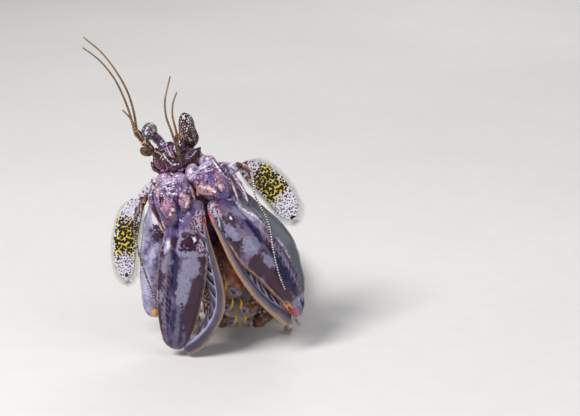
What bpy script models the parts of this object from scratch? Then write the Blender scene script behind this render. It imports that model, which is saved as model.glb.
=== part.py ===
"""A mantis shrimp at life size, with its front raised and its claws folded as it looks out.

Every length below is in millimetres until a mesh is made. The animal faces -Y, its left side is +X and
the floor is z = 0. Its body follows one line from the front of the head shield to the tip of the tail
fan, and each plate, limb and feeler is a set of rings carried along a line of its own.
"""

import math

import bmesh
import bpy
import numpy as np
from mathutils.bvhtree import BVHTree

MM = 0.001
GAP = 0.3  # left between pieces that touch
SEAM = 0.36  # left between plates of the trunk, which need no cutting
LEAST_KEPT = 0.6  # share of its volume that a piece keeps when its neighbours are cut from it
ORIGIN = (-11.4, 52.4, 0.0)  # middle of the model's footprint, which becomes the origin

# The body's midline, from the front edge of the head shield back to the tip of the telson.
BODY_LINE = (
    (-14.5, 4.5, 54.0),
    (-11.0, 6.5, 46.0),
    (-7.0, 9.0, 36.0),
    (-3.0, 12.0, 26.0),
    (0.0, 17.5, 17.5),
    (1.5, 27.0, 11.5),
    (2.0, 40.0, 9.2),
    (1.0, 55.0, 8.6),
    (-3.0, 75.0, 8.2),
    (-8.5, 95.0, 6.6),
    (-14.0, 118.0, 2.6),
)
BODY_YAW = 6.0  # degrees that the raised front turns towards the animal's left
SHIELD_END = 33.0  # where the head shield stops along the midline
THORAX_PITCH = 6.0
ABDOMEN_LENGTHS = (11.5, 11.5, 11.5, 11.5, 11.0, 8.5)
ABDOMEN_START = SHIELD_END + 4 * THORAX_PITCH
TELSON_START = ABDOMEN_START + sum(ABDOMEN_LENGTHS)
TELSON_LENGTH = 22.5
SHIELD_THICKNESS = 1.0

# Along the midline: half width, height above the midline, depth below it.
BODY_SIZES = (
    (-2.0, 3.6, 2.6, 3.2),
    (6.0, 6.0, 4.4, 4.3),
    (15.0, 10.0, 6.6, 5.2),
    (25.0, 12.2, 7.2, 5.4),
    (33.0, 12.8, 6.9, 5.2),
    (45.0, 12.2, 6.0, 4.8),
    (57.0, 13.2, 5.6, 4.6),
    (80.0, 14.2, 5.6, 4.6),
    (103.0, 14.0, 5.2, 4.4),
    (122.5, 12.6, 4.2, 3.4),
)

TEETH = 7  # spines along a claw's last joint, before its tip
FOREMOST_LIMB = "mouth_limb_3_right"  # the stoutest of the small limbs, in front between the claws
FRONT = (0.0, -1.0, 0.0)
UP = (0.0, 0.0, 1.0)


def unit(vectors):
    vectors = np.asarray(vectors, float)
    return vectors / np.linalg.norm(vectors, axis=-1, keepdims=True)


def smooth(knots, values, at):
    """Values read from a cubic curve that passes through the given ones."""
    knots, values, at = (np.asarray(x, float) for x in (knots, values, at))
    slopes = np.gradient(values, knots, axis=0)
    i = np.clip(np.searchsorted(knots, at) - 1, 0, len(knots) - 2)
    step = knots[i + 1] - knots[i]
    u = (at - knots[i]) / step
    if values.ndim == 2:
        u, step = u[:, None], step[:, None]
    rise = u * u * (3 - 2 * u)
    ends = values[i] * (1 - rise) + values[i + 1] * rise
    return ends + step * (slopes[i] * u * (1 - u) ** 2 - slopes[i + 1] * u * u * (1 - u))


def traced(points, count=400):
    """A smooth line through the points as many short steps, and how far along it each one is."""
    points = np.asarray(points, float)
    knots = np.r_[0, np.cumsum(np.linalg.norm(np.diff(points, axis=0), axis=1))]
    fine = smooth(knots, points, np.linspace(0, knots[-1], count))
    return fine, np.r_[0, np.cumsum(np.linalg.norm(np.diff(fine, axis=0), axis=1))]


def line_at(points, shares):
    """Places at these shares of the length of a smooth line through the points."""
    fine, run = traced(points)
    wanted = np.asarray(shares, float) * run[-1]
    return np.stack([np.interp(wanted, run, fine[:, k]) for k in range(3)], 1)


def closed(rings):
    """(points, faces) of a skin over the rings, each end closed by a fan to its middle."""
    count, around = rings.shape[:2]
    points = np.vstack([rings.reshape(-1, 3), rings[0].mean(0), rings[-1].mean(0)])
    faces = []
    for i in range(count - 1):
        for j in range(around):
            a, b = i * around + j, i * around + (j + 1) % around
            faces += [(a, b, b + around), (a, b + around, a + around)]
    first, last = count * around, count * around + 1
    for j in range(around):
        k = (j + 1) % around
        faces += [(first, k, j), (last, (count - 1) * around + j, (count - 1) * around + k)]
    return facing_out(points, np.array(faces))


def facing_out(points, faces):
    first, second, third = (points[faces[:, k]] for k in range(3))
    volume = (first * np.cross(second, third)).sum()
    return points, faces if volume > 0 else faces[:, ::-1]


def end_rounding(t, start, end):
    """1 along the middle, falling as a quarter circle over a share of the length at each end."""
    factor = np.ones_like(t)
    for share, distance in ((start, t), (end, 1 - t)):
        if share:
            near = np.clip(1 - distance / share, 0, 1)
            factor *= np.sqrt(np.clip(1 - near * near, 0.02, 1))
    return factor


def limb(points, sizes, face=FRONT, rings=8, around=8, ends=(0.1, 0.1), relief=None):
    """Rings along a line. Each row of sizes is (share of the length, width, depth).

    The depth is measured along face and the width across it. relief(u, t) raises or sinks the front
    of the ring, where u runs from -1 to 1 across the width and t along the length.
    """
    t = (1 - np.cos(np.pi * np.linspace(0, 1, rings))) / 2
    path = line_at(points, t)
    sizes = np.asarray(sizes, float)
    rounding = end_rounding(t, *ends)
    width = smooth(sizes[:, 0], sizes[:, 1], t) * rounding
    depth = smooth(sizes[:, 0], sizes[:, 2], t) * rounding
    tangent = unit(np.gradient(path, axis=0))
    face = np.broadcast_to(np.asarray(face, float), path.shape)
    face = unit(face - (face * tangent).sum(1, keepdims=True) * tangent)
    side = np.cross(face, tangent)
    angle = 2 * np.pi * np.arange(around) / around
    across, out = np.cos(angle)[None, :], np.sin(angle)[None, :]
    lift = out * depth[:, None] / 2
    if relief:
        lift = lift + np.where(out > 0.1, relief(across, t[:, None]) * rounding[:, None], 0)
    offset = side[:, None] * (across * width[:, None] / 2)[..., None] + face[:, None] * lift[..., None]
    return closed(path[:, None] + offset)


def feeler(points, thick, thin, rings=12, around=5):
    """A long bendy whip that tapers from its root to its tip."""
    return limb(points, ((0, thick, thick), (1, thin, thin)), rings=rings, around=around, ends=(0, 0))


def spike(root, tip, thick, thin=0.3):
    """A tapered spine of four sides."""
    return limb((root, tip), ((0, thick, thick), (1, thin, thin)), (0.3, -0.9, 0.2), 2, 4, (0, 0))


def body_frame(s):
    """Midline point and the directions to the left, to the back and to the tail, at distances s."""
    s = np.atleast_1d(np.asarray(s, float))
    fine, run = traced(BODY_LINE)
    inside = np.clip(s, 1.0, run[-1] - 1.0)
    before, after = (
        np.stack([np.interp(inside + step, run, fine[:, k]) for k in range(3)], 1) for step in (-1.0, 1.0)
    )
    tangent = unit(after - before)
    here = (before + after) / 2 + tangent * (s - inside)[:, None]
    turn = math.radians(BODY_YAW) * np.clip(1 - s / ABDOMEN_START, 0, 1)
    left = np.stack([np.cos(turn), np.sin(turn), np.zeros_like(turn)], 1)
    left = unit(left - (left * tangent).sum(1, keepdims=True) * tangent)
    return here, left, np.cross(left, tangent), tangent


def on_body(s, left, up):
    """The point this far along the midline, to the left of it and above it."""
    here, side, back, _ = body_frame(s)
    return tuple(here[0] + side[0] * left + back[0] * up)


def body_sizes(s):
    table = np.asarray(BODY_SIZES)
    return smooth(table[:, 0], table[:, 1:], np.atleast_1d(np.asarray(s, float)))


def body_rings(stations, scale, angles, keels=0, inset=0.0):
    """Rings of the trunk: a dome above, and below it a flat underside between hanging side flaps."""
    stations, scale = np.asarray(stations, float), np.asarray(scale, float)
    here, left, back, _ = body_frame(stations)
    half, above, below = (body_sizes(stations) * scale[:, None]).T - inset
    c, s = np.cos(angles), np.sin(angles)
    dome = np.abs(s) ** 0.85
    flat = np.abs(s) ** 0.55 * (1 - 0.3 * (1 - c * c))
    lift = np.where(s > 0, above[:, None] * dome, -below[:, None] * flat)
    ridge = np.where((s > 0.25) & (np.arange(len(angles)) % 4 == 2), keels, 0)
    lift = lift + ridge * s
    across = half[:, None] * np.sign(c) * np.abs(c) ** 0.8
    return here[:, None] + left[:, None] * across[..., None] + back[:, None] * lift[..., None]


def tergite(start, end, keels=0.35, around=28):
    """One ring of the trunk, a little wider at its rear rim, where it would lap the next."""
    angles = 2 * np.pi * np.arange(around) / around
    stations = np.linspace(start + SEAM / 2, end - SEAM / 2, 4)
    return closed(body_rings(stations, (0.955, 0.985, 1.0, 1.02), angles, keels))


def plate(outer, inner):
    """(points, faces) of a curved plate between two matching grids of points."""
    rows, columns = outer.shape[:2]
    points = np.vstack([outer.reshape(-1, 3), inner.reshape(-1, 3)])
    index = np.arange(rows * columns).reshape(rows, columns)
    a, b, c, d = (x.ravel() for x in (index[:-1, :-1], index[:-1, 1:], index[1:, 1:], index[1:, :-1]))
    top = np.vstack([np.stack([a, b, c], 1), np.stack([a, c, d], 1)])
    edge = np.concatenate([index[0, :-1], index[:-1, -1], index[-1, :0:-1], index[:0:-1, 0]])
    following, under = np.roll(edge, -1), rows * columns
    wall = np.vstack(
        [
            np.stack([edge, edge + under, following + under], 1),
            np.stack([edge, following + under, following], 1),
        ]
    )
    return facing_out(points, np.vstack([top, top[:, ::-1] + under, wall]))


def mesh_object(name, shape):
    """Blender object of one shape, with its place in its mesh."""
    points, faces = shape
    mesh = bpy.data.meshes.new(name)
    mesh.from_pydata(((np.asarray(points) - ORIGIN) * MM).tolist(), [], np.asarray(faces).tolist())
    mesh.update()
    made = bpy.data.objects.new(name, mesh)
    bpy.context.scene.collection.objects.link(made)
    return made


def combine(target, others, operation):
    """Joins the other objects to the target, or cuts them from it, and removes them."""
    group = bpy.data.collections.new("others")
    bpy.context.scene.collection.children.link(group)
    for other in others:
        bpy.context.scene.collection.objects.unlink(other)
        group.objects.link(other)
    modifier = target.modifiers.new(operation, "BOOLEAN")
    modifier.operation = operation
    modifier.operand_type = "COLLECTION"
    modifier.collection = group
    for solver, weld in (("EXACT", 0.00001), ("EXACT", 0.000002),
                         ("MANIFOLD", 0.00001), ("MANIFOLD", 0.000002)):
        modifier.solver = solver
        result = evaluated_mesh(target)
        keep_largest(result, weld)
        if is_closed(result):
            break
    target.modifiers.clear()
    target.data = result
    if not is_closed(result):
        raise ValueError(f"{target.name} does not close after {operation}")
    for other in others:
        bpy.data.objects.remove(other)
    bpy.data.collections.remove(group)


def evaluated_mesh(target):
    graph = bpy.context.evaluated_depsgraph_get()
    return bpy.data.meshes.new_from_object(target.evaluated_get(graph))


def is_closed(mesh):
    work = bmesh.new()
    work.from_mesh(mesh)
    result = bool(work.faces) and all(edge.is_manifold for edge in work.edges)
    work.free()
    return result


def keep_largest(mesh, weld):
    """Leaves only the closed surface that holds the most, and joins points nearer than the weld."""
    work = bmesh.new()
    work.from_mesh(mesh)
    bmesh.ops.triangulate(work, faces=work.faces[:])
    bmesh.ops.dissolve_degenerate(work, dist=weld, edges=work.edges[:])
    bmesh.ops.triangulate(work, faces=work.faces[:])
    islands, seen = [], set()
    for first in work.faces:
        if first in seen:
            continue
        island, edge_of = [], [first]
        seen.add(first)
        while edge_of:
            face = edge_of.pop()
            island.append(face)
            for edge in face.edges:
                for neighbour in edge.link_faces:
                    if neighbour not in seen:
                        seen.add(neighbour)
                        edge_of.append(neighbour)
        islands.append(island)
    largest = max(islands, key=span_of, default=[])
    loose = [face for island in islands if island is not largest for face in island]
    bmesh.ops.delete(work, geom=loose, context="FACES")
    work.to_mesh(mesh)
    work.free()


def span_of(island):
    """The signed volume inside an island of triangles."""
    return sum(
        face.verts[0].co.dot(face.verts[1].co.cross(face.verts[2].co)) for face in island
    )


def volume_of(mesh):
    work = bmesh.new()
    work.from_mesh(mesh)
    result = abs(work.calc_volume())
    work.free()
    return result


MADE = []


def node(name, finish, *shapes):
    """One named piece of the animal, its shapes fused into one closed body."""
    base = mesh_object(name, shapes[0])
    base.data.materials.append(FINISHES[finish])
    others = [mesh_object(name + "_more", shape) for shape in shapes[1:]]
    if others:
        combine(base, others, "UNION")
    MADE.append(base)
    return base


def swollen(source, by):
    """A copy of a piece whose surface stands out by this much."""
    copy = source.copy()
    copy.data = source.data.copy()
    copy.data.materials.clear()
    bpy.context.scene.collection.objects.link(copy)
    work = bmesh.new()
    work.from_mesh(copy.data)
    work.normal_update()
    moves = [vertex.normal * vertex.calc_shell_factor() for vertex in work.verts]
    for vertex, move in zip(work.verts, moves):
        vertex.co += move.normalized() * min(move.length, 1.6) * by
    work.to_mesh(copy.data)
    work.free()
    return copy


def near(first, second):
    """Whether two meshes meet, tested on the surfaces of both."""
    trees = []
    for item in (first, second):
        work = bmesh.new()
        work.from_mesh(item.data)
        trees.append(BVHTree.FromBMesh(work))
        work.free()
    return bool(trees[0].overlap(trees[1]))


def boxes_meet(first, second):
    lows, highs = [], []
    for item in (first, second):
        corners = np.array([vertex.co for vertex in item.data.vertices])
        lows.append(corners.min(0))
        highs.append(corners.max(0))
    return bool((np.maximum(*lows) < np.minimum(*highs)).all())


def part_neighbours():
    """Cuts each piece clear of those made before it, so that all meet face to face."""
    for index, piece in enumerate(MADE):
        before = volume_of(piece.data)
        cutters = []
        for other in MADE[:index]:
            cutter = swollen(other, GAP * MM)
            if boxes_meet(piece, cutter) and near(piece, cutter):
                cutters.append(cutter)
            else:
                bpy.data.objects.remove(cutter)
        if cutters:
            names = [cutter.name.split(".")[0] for cutter in cutters]
            combine(piece, cutters, "DIFFERENCE")
            kept = volume_of(piece.data) / before
            if kept < LEAST_KEPT:
                raise ValueError(f"{piece.name} keeps only {kept:.0%} clear of {names}")


def stand_on_floor():
    """Flattens what would reach below the floor, which leaves small flats to rest on."""
    for piece in MADE:
        for vertex in piece.data.vertices:
            vertex.co.z = max(vertex.co.z, 0.0)


def material(name, colour, roughness):
    made = bpy.data.materials.new(name)
    made.use_nodes = True
    shader = made.node_tree.nodes["Principled BSDF"]
    shader.inputs["Base Color"].default_value = (*colour, 1.0)
    shader.inputs["Roughness"].default_value = roughness
    shader.inputs["Metallic"].default_value = 0.0
    return made


def make_trunk():
    """Head shield over the front of the body, four open thorax rings, six tail rings and the telson."""
    stations = np.array((0.0, 4.0, 9.0, 15.0, 21.0, 27.0, SHIELD_END - SEAM / 2))
    angles = np.linspace(-0.10 * np.pi, 1.10 * np.pi, 17)
    ones = np.ones_like(stations)
    outer = body_rings(stations, ones, angles)
    inner = body_rings(stations, ones, angles, inset=SHIELD_THICKNESS)
    core_angles = 2 * np.pi * np.arange(20) / 20
    core_at = np.array((-1.5, 2.0, 7.0, 13.0, 20.0, 27.0, SHIELD_END - SEAM / 2))
    core = body_rings(core_at, np.ones_like(core_at), core_angles, inset=SHIELD_THICKNESS + SEAM)
    node("head_shield", "shell", plate(outer, inner))
    node("head_and_chest", "belly", closed(core))
    for ring in range(4):
        start = SHIELD_END + ring * THORAX_PITCH
        node(f"chest_ring_{ring + 5}", "shell", tergite(start, start + THORAX_PITCH, 0.2))
    start = ABDOMEN_START
    for ring, length in enumerate(ABDOMEN_LENGTHS):
        node(f"tail_ring_{ring + 1}", "shell", tergite(start, start + length))
        start += length


def make_telson():
    """The tail plate: a domed shield with a middle keel and three pairs of teeth on its rear edge."""
    start, length = TELSON_START + SEAM / 2, TELSON_LENGTH
    widths = ((0, 22.0, 4.8), (0.25, 23.5, 4.4), (0.6, 21.5, 3.4), (0.85, 15.5, 2.4), (1, 8.0, 1.8))
    path = [on_body(start + length * share, 0, 0) for share in (0, 0.35, 0.7, 1)]
    keel = lambda u, t: 0.9 * np.exp(-((u / 0.12) ** 2)) * (1 - 0.4 * t)
    blade = limb(path, widths, UP, 7, 16, (0, 0.06), keel)
    teeth = []
    for side in (-1, 1):
        for share, across, reach in ((0.52, 9.6, 5.0), (0.8, 7.2, 5.5), (0.97, 2.6, 4.6)):
            root = on_body(start + length * share - 2.5, side * across * 0.9, -0.2)
            tip = on_body(start + length * share + reach, side * across * 1.08, -0.6)
            teeth.append(spike(root, tip, 2.2, 0.4))
    node("telson", "shell", blade, *teeth)


def near_floor(s, left, height):
    """The point that far along the midline and to its left, at this height over the floor."""
    here = on_body(s, left, 0)
    return (here[0], here[1], height)


def make_uropod(side, hand):
    """A tail fan limb: its base, a forked spine and two paddles that lie on the floor."""
    start = TELSON_START - 5.5
    at = lambda s, left, up: on_body(start + s, side * left, up)
    low = lambda s, left, height: near_floor(start + s, side * left, height)
    base = limb((at(0, 9.6, -1.6), at(4, 11.4, -2.4), low(7.5, 12.2, 2.2)),
                ((0, 3.2, 3.0), (0.6, 4.2, 3.2), (1, 3.6, 2.4)), UP, 4, 7, (0.2, 0.2))
    outer = limb((low(5, 12.2, 2.4), low(11, 15.0, 1.2), low(17, 17.2, 0.5), low(22.5, 18.0, 0.35)),
                 ((0, 3.0, 2.0), (0.4, 5.2, 1.8), (0.7, 6.6, 1.4), (1, 4.6, 1.1)), UP, 6, 8, (0.1, 0.2))
    inner = limb((low(5.5, 11.8, 2.0), low(11, 12.6, 0.8), low(16, 12.6, 0.4), low(20.5, 11.8, 0.35)),
                 ((0, 2.4, 1.5), (0.5, 4.2, 1.3), (1, 2.8, 1.0)), UP, 5, 7, (0.1, 0.25))
    fork = [
        limb((low(4, 11.2, 1.8), low(10, 9.8, 0.7), low(17.5, 8.2, 0.6)),
             ((0, 2.6, 1.6), (0.5, 1.8, 1.2), (1, 0.5, 0.5)), UP, 4, 5, (0, 0)),
        spike(low(9, 10.2, 0.8), low(14.5, 10.2, 0.6), 1.4, 0.4),
    ]
    node(f"tail_fan_{hand}", "fan", base, outer, inner, *fork)


def make_swimmeret(ring, side, hand):
    """Two flaps on a short root under a tail ring, sloping back from the belly to the floor."""
    start = ABDOMEN_START + sum(ABDOMEN_LENGTHS[:ring])
    at = lambda s, left, drop: on_body(start + s, side * left, -drop)
    low = lambda s, left, height: near_floor(start + s, side * left, height)
    root = limb((at(1.8, 6.8, 3.4), at(3.4, 6.8, 5.4)), ((0, 4.0, 2.4), (1, 3.6, 1.6)), FRONT, 3, 6, (0, 0.2))
    outer = limb((at(2.4, 8.0, 4.5), low(6.4, 9.2, 1.8), low(10.6, 9.4, 0.05)),
                 ((0, 3.2, 1.4), (0.5, 4.8, 1.1), (1, 3.4, 0.9)), UP, 4, 7, (0.1, 0.2))
    inner = limb((at(2.4, 5.8, 4.5), low(6.2, 4.6, 1.8), low(10.0, 4.2, 0.05)),
                 ((0, 3.0, 1.4), (0.5, 4.0, 1.1), (1, 2.8, 0.9)), UP, 4, 7, (0.1, 0.2))
    node(f"swimmeret_{ring + 1}_{hand}", "belly", root, outer, inner)


def make_walking_leg(index, side, hand):
    """A slim leg under a chest ring, with a rod-like side branch."""
    s = SHIELD_END + (1.5 + index) * THORAX_PITCH
    hip, thigh = on_body(s, side * 7.5, -4.0), on_body(s + 0.5, side * 12.0, -6.2)
    foot_out, foot_back = (13.0, 13.5, 14.0)[index], (11.0, 20.0, 30.0)[index]
    middle = BODY_LINE[4][0] + 0.5
    knee = (middle + side * (foot_out + 1.0), foot_back - 1.0, 6.5)
    foot = (middle + side * foot_out, foot_back - 2.5, -0.2)
    upper = limb((hip, thigh, knee), ((0, 3.0, 2.6), (0.5, 2.2, 2.0), (1, 1.8, 1.6)), FRONT, 5, 6, (0, 0.1))
    lower = limb((knee, foot), ((0, 1.8, 1.5), (0.6, 1.9, 1.2), (1, 2.2, 1.2)), FRONT, 4, 6, (0.2, 0))
    rod_tip = (middle + side * (foot_out + 3.6), foot_back + 0.5, 2.0)
    branch = limb((thigh, knee, rod_tip), ((0, 1.0, 1.0), (1, 0.7, 0.7)), FRONT, 4, 4, (0, 0))
    node(f"walking_leg_{index + 1}_{hand}", "limb", upper, lower, branch)


def make_head():
    """Nose plate, eye and antennule carriers, and the upper lip between the claws' wrists."""
    nose = limb((on_body(1.5, 0, 3.6), on_body(-3, 0, 3.1), on_body(-7.0, 0, 2.5)),
                ((0, 5.6, 1.1), (0.5, 5.0, 1.0), (1, 1.6, 0.8)), on_direction(), 5, 8, (0.05, 0.2))
    eye_bar = limb(((-21.4, 0.4, 57.0), (-18.6, 0.6, 57.8), (-15.6, 0.6, 57.6)),
                   ((0, 3.0, 3.0), (0.5, 3.4, 4.0), (1, 3.0, 3.0)), FRONT, 5, 8, (0.2, 0.2))
    bowl = limb(((-23.4, -1.8, 53.9), (-20.8, -3.0, 55.0), (-17.6, -3.4, 55.5), (-14.4, -3.0, 55.7),
                 (-12.2, -2.4, 56.7), (-10.7, -1.8, 58.4)),
                ((0, 1.8, 1.8), (0.2, 5.4, 5.0), (0.42, 7.8, 6.2),
                 (0.62, 6.0, 5.6), (0.82, 3.2, 3.2), (1, 0.8, 0.9)),
                FRONT, 8, 10, (0.1, 0.1))
    wings = [spike((-21.6, -2.4, 52.0), (-24.3, -2.2, 54.2), 1.7, 0.5),
             spike((-12.6, -2.4, 55.8), (-10.4, -2.0, 58.2), 1.7, 0.5)]
    lip = limb(((-16.6, -2.6, 51.8), (-14.8, -3.0, 50.4), (-13.0, -2.6, 47.6), (-11.6, -0.8, 44.2)),
               ((0, 6.2, 4.4), (0.4, 4.6, 4.6), (0.75, 3.6, 4.6), (1, 3.0, 4.4)), FRONT, 6, 8, (0.1, 0.2))
    node("antennule_ring", "head", bowl, *wings)
    node("eye_ring", "head", eye_bar)
    node("nose_plate", "head", nose)
    node("upper_lip", "head", lip)


def on_direction():
    """The way the animal's back faces at the front of the head shield."""
    _, _, back, _ = body_frame(0.0)
    return tuple(back[0])


def make_eye(hand, stalk, low, high, face):
    """A stalk and a long cornea of two lobes with a waist between them."""
    middle = tuple((np.asarray(low) + np.asarray(high)) / 2)
    cornea = limb((low, middle, high), ((0, 4.4, 3.6), (0.28, 4.7, 4.0), (0.47, 4.3, 3.6), (0.7, 4.4, 3.8),
                                        (1, 3.6, 3.2)), face, 9, 10, (0.26, 0.26))
    stem = limb((*stalk, middle), ((0, 2.2, 2.2), (0.6, 2.3, 2.3), (1, 2.8, 2.8)), face, 4, 7, (0, 0))
    node(f"eye_{hand}", "eye", cornea, stem)


def make_antennule(hand, joints, widths, whips):
    """Three stout joints and three whips."""
    parts = []
    for k in range(len(joints) - 1):
        thick = widths[k]
        sizes = ((0, thick * 0.85, thick * 0.8), (0.7, thick, thick * 0.9), (1, thick * 0.9, thick * 0.8))
        parts.append(limb((joints[k], joints[k + 1]), sizes, FRONT, 4, 6, (0.15, 0.15)))
    parts += [feeler(whip, 0.95, 0.5, 12 if len(whip) > 4 else 5) for whip in whips]
    node(f"antennule_{hand}", "feeler", *parts)


def make_antenna(hand, stem, whip_stem, whip):
    """The scale's two-jointed stem, with the antenna's own short stem and whip on it."""
    root = limb(stem, ((0, 3.8, 3.4), (0.5, 3.2, 3.0), (1, 2.8, 2.4)), FRONT, 6, 7, (0.1, 0.15))
    short = limb(whip_stem, ((0, 1.8, 1.8), (0.8, 1.5, 1.5), (1, 1.2, 1.2)), FRONT, 4, 6, (0.1, 0.1))
    node(f"antenna_{hand}", "scale", root, short, feeler(whip, 0.9, 0.5, 12))


def make_scale(hand, path, width, face):
    """The broad paddle on an antenna, with a rib along it."""
    rib = lambda u, t: 0.35 * np.exp(-(((u - 0.25) / 0.2) ** 2)) * (1 - t)
    sizes = ((0, width * 0.42, 1.6), (0.2, width * 0.82, 1.2), (0.5, width, 1.0), (0.8, width * 0.86, 0.9),
             (1, width * 0.55, 0.8))
    node(f"antenna_scale_{hand}", "scale", limb(path, sizes, face, 9, 10, (0.06, 0.14), rib))


PALM_SHARES = (0, 0.1, 0.23, 0.37, 0.5, 0.68, 0.84, 1)
CLAWS = {
    "right": {
        "hand": -1,
        "wrist": ((-18.9, -5.4, 50.9), (-18.0, -7.2, 48.1), (-17.8, -8.6, 44.6), (-18.3, -10.4, 40.4)),
        "wrist_flap": ((-14.8, -8.6, 48.6), (-13.9, -10.8, 46.1), (-13.7, -11.6, 43.4)),
        "wrist_ridge": ((-14.7, -5.8, 50.6), (-12.7, -7.6, 48.2), (-11.5, -9.0, 45.4)),
        "wrist_strap": ((-22.6, -5.0, 48.9), (-22.4, -6.8, 45.0), (-20.6, -8.2, 40.8), (-19.2, -9.4, 36.8)),
        "palm": ((-14.0, -7.0, 45.6), (-14.0, -9.6, 39.6), (-14.2, -11.2, 34.9), (-14.9, -12.0, 28.8),
                 (-15.4, -12.0, 23.4), (-16.4, -11.4, 16.1), (-17.1, -10.2, 9.6), (-17.8, -8.8, 2.2)),
        "palm_widths": (9.0, 10.4, 11.8, 13.4, 13.3, 11.8, 9.4, 4.8),
        "palm_face": (-0.10, -1.0, 0.05),
        "finger": ((-15.2, -9.6, 2.2), (-11.4, -10.4, 4.6), (-7.5, -11.2, 9.4), (-5.2, -11.8, 14.8),
                   (-4.9, -12.2, 19.3), (-5.5, -12.6, 23.8), (-6.5, -12.9, 28.4), (-7.6, -13.2, 33.0),
                   (-8.6, -13.4, 38.0), (-9.2, -12.8, 41.8)),
        "upper_arm": ((-19.4, -3.8, 47.4), (-21.6, -3.0, 42.0), (-23.0, -2.9, 36.0), (-23.7, -2.8, 28.0),
                      (-23.6, -2.2, 19.0), (-23.2, -1.2, 9.6)),
        "arm_sizes": ((0, 5.6, 5.0), (0.2, 8.0, 7.0), (0.5, 8.8, 8.0), (0.8, 8.0, 7.2), (1, 5.0, 4.6)),
        "arm_face": (-0.35, -1.0, 0.0),
        "arm_root": ((-9.5, 8.5, 23.0), (-14.5, 7.0, 15.5), (-19.0, 4.0, 9.0), (-22.2, 0.6, 6.0)),
        "knob": ((-22.6, -5.2, 11.4), (-24.2, -7.2, 12.8)),
    },
    "left": {
        "hand": 1,
        "wrist": ((-8.9, -5.4, 55.2), (-7.5, -7.4, 52.3), (-5.6, -8.8, 49.1), (-3.4, -10.2, 45.8)),
        "wrist_flap": ((-8.8, -9.2, 51.2), (-7.6, -11.2, 49.2), (-6.8, -11.8, 47.3)),
        "wrist_ridge": ((-5.4, -5.6, 55.2), (-2.6, -7.4, 51.5), (-0.6, -8.6, 46.9)),
        "wrist_strap": ((-12.4, -6.6, 53.1), (-11.8, -7.8, 50.4), (-10.9, -9.0, 47.2)),
        "palm": ((-5.4, -7.2, 47.0), (-2.4, -8.8, 41.6), (2.1, -9.8, 36.2), (4.5, -9.6, 32.3),
                 (7.4, -8.8, 28.7), (10.3, -7.8, 24.6), (13.4, -6.4, 19.4), (16.7, -4.5, 10.6)),
        "palm_widths": (8.0, 11.6, 13.6, 13.9, 12.6, 10.6, 7.9, 4.8),
        "palm_face": (0.67, -0.74, 0.3),
        "finger": ((14.3, -6.4, 9.4), (11.4, -8.4, 12.6), (8.0, -10.4, 16.0), (4.6, -12.2, 20.3),
                   (1.9, -13.4, 24.6), (-0.7, -14.4, 29.2), (-2.6, -15.0, 33.3), (-4.6, -15.4, 37.8),
                   (-6.6, -14.9, 41.6), (-7.8, -13.8, 43.4)),
        "upper_arm": ((-3.6, -1.4, 48.0), (-0.6, -1.2, 44.4), (4.6, -0.8, 38.2), (10.4, -0.4, 31.6),
                      (13.7, 0.6, 23.6), (16.4, 2.4, 13.0)),
        "arm_sizes": ((0, 3.6, 3.4), (0.2, 6.2, 5.4), (0.4, 8.4, 7.2), (0.6, 8.4, 7.6),
                      (0.84, 6.8, 6.6), (1, 4.6, 4.4)),
        "arm_face": (0.5, -0.9, 0.1),
        "arm_root": ((4.6, 9.6, 24.0), (9.6, 9.4, 17.0), (13.6, 7.4, 11.4), (16.6, 4.6, 9.2)),
        "knob": ((13.6, -1.8, 24.6), (14.2, -4.2, 26.6)),
    },
}


def make_claw(name):
    """A folded spearing claw: root, upper arm, knobbly wrist, palm and toothed finger."""
    claw = CLAWS[name]
    hand = claw["hand"]
    lobes = [
        limb(claw["wrist"], ((0, 7.6, 5.4), (0.3, 10.4, 7.4), (0.62, 9.4, 6.8), (1, 3.6, 3.2)), (0, -1, 0.35),
             7, 11, (0.3, 0.15)),
        limb(claw["wrist_flap"], ((0, 3.6, 3.6), (0.5, 4.4, 3.0), (1, 2.4, 1.4)), FRONT, 4, 7, (0.25, 0.2)),
        limb(claw["wrist_ridge"], ((0, 2.2, 3.0), (0.5, 2.6, 3.4), (1, 1.2, 1.6)), FRONT, 4, 7, (0.2, 0.1)),
        limb(claw["wrist_strap"], ((0, 2.6, 2.6), (0.4, 2.2, 2.2), (1, 0.9, 1.0)), FRONT, 5, 6, (0.2, 0)),
    ]
    node(f"claw_wrist_{name}", "claw", *lobes)
    groove = lambda u, t: -1.3 * np.exp(-(((u - hand * 0.45) / 0.16) ** 2)) * np.clip(t * 4, 0, 1)
    palm_sizes = [(share, width, 3.4 + 0.13 * width)
                  for share, width in zip(PALM_SHARES, claw["palm_widths"])]
    palm = limb(claw["palm"], palm_sizes, claw["palm_face"], 11, 16, (0.05, 0.08), groove)
    node(f"claw_palm_{name}", "claw", palm)
    finger_sizes = ((0, 4.2, 3.2), (0.1, 3.9, 2.9), (0.25, 3.1, 2.5),
                    (0.45, 2.8, 2.2), (0.8, 1.8, 1.5), (1, 0.5, 0.5))
    finger = limb(claw["finger"], finger_sizes, claw["palm_face"], 12, 8, (0.05, 0))
    node(f"claw_finger_{name}", "claw", finger, *finger_teeth(claw))
    arm = limb(claw["upper_arm"], claw["arm_sizes"], claw["arm_face"], 8, 11, (0.1, 0.1))
    knob = limb(claw["knob"], ((0, 2.6, 2.4), (1, 1.6, 1.4)), UP, 4, 7, (0, 0.3))
    node(f"claw_arm_{name}", "claw", arm, knob)
    root_sizes = ((0, 6.0, 5.4), (0.4, 4.8, 4.4), (0.8, 4.2, 3.8), (1, 3.2, 3.0))
    node(f"claw_root_{name}", "limb", limb(claw["arm_root"], root_sizes, FRONT, 6, 8, (0.05, 0.15)))


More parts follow.
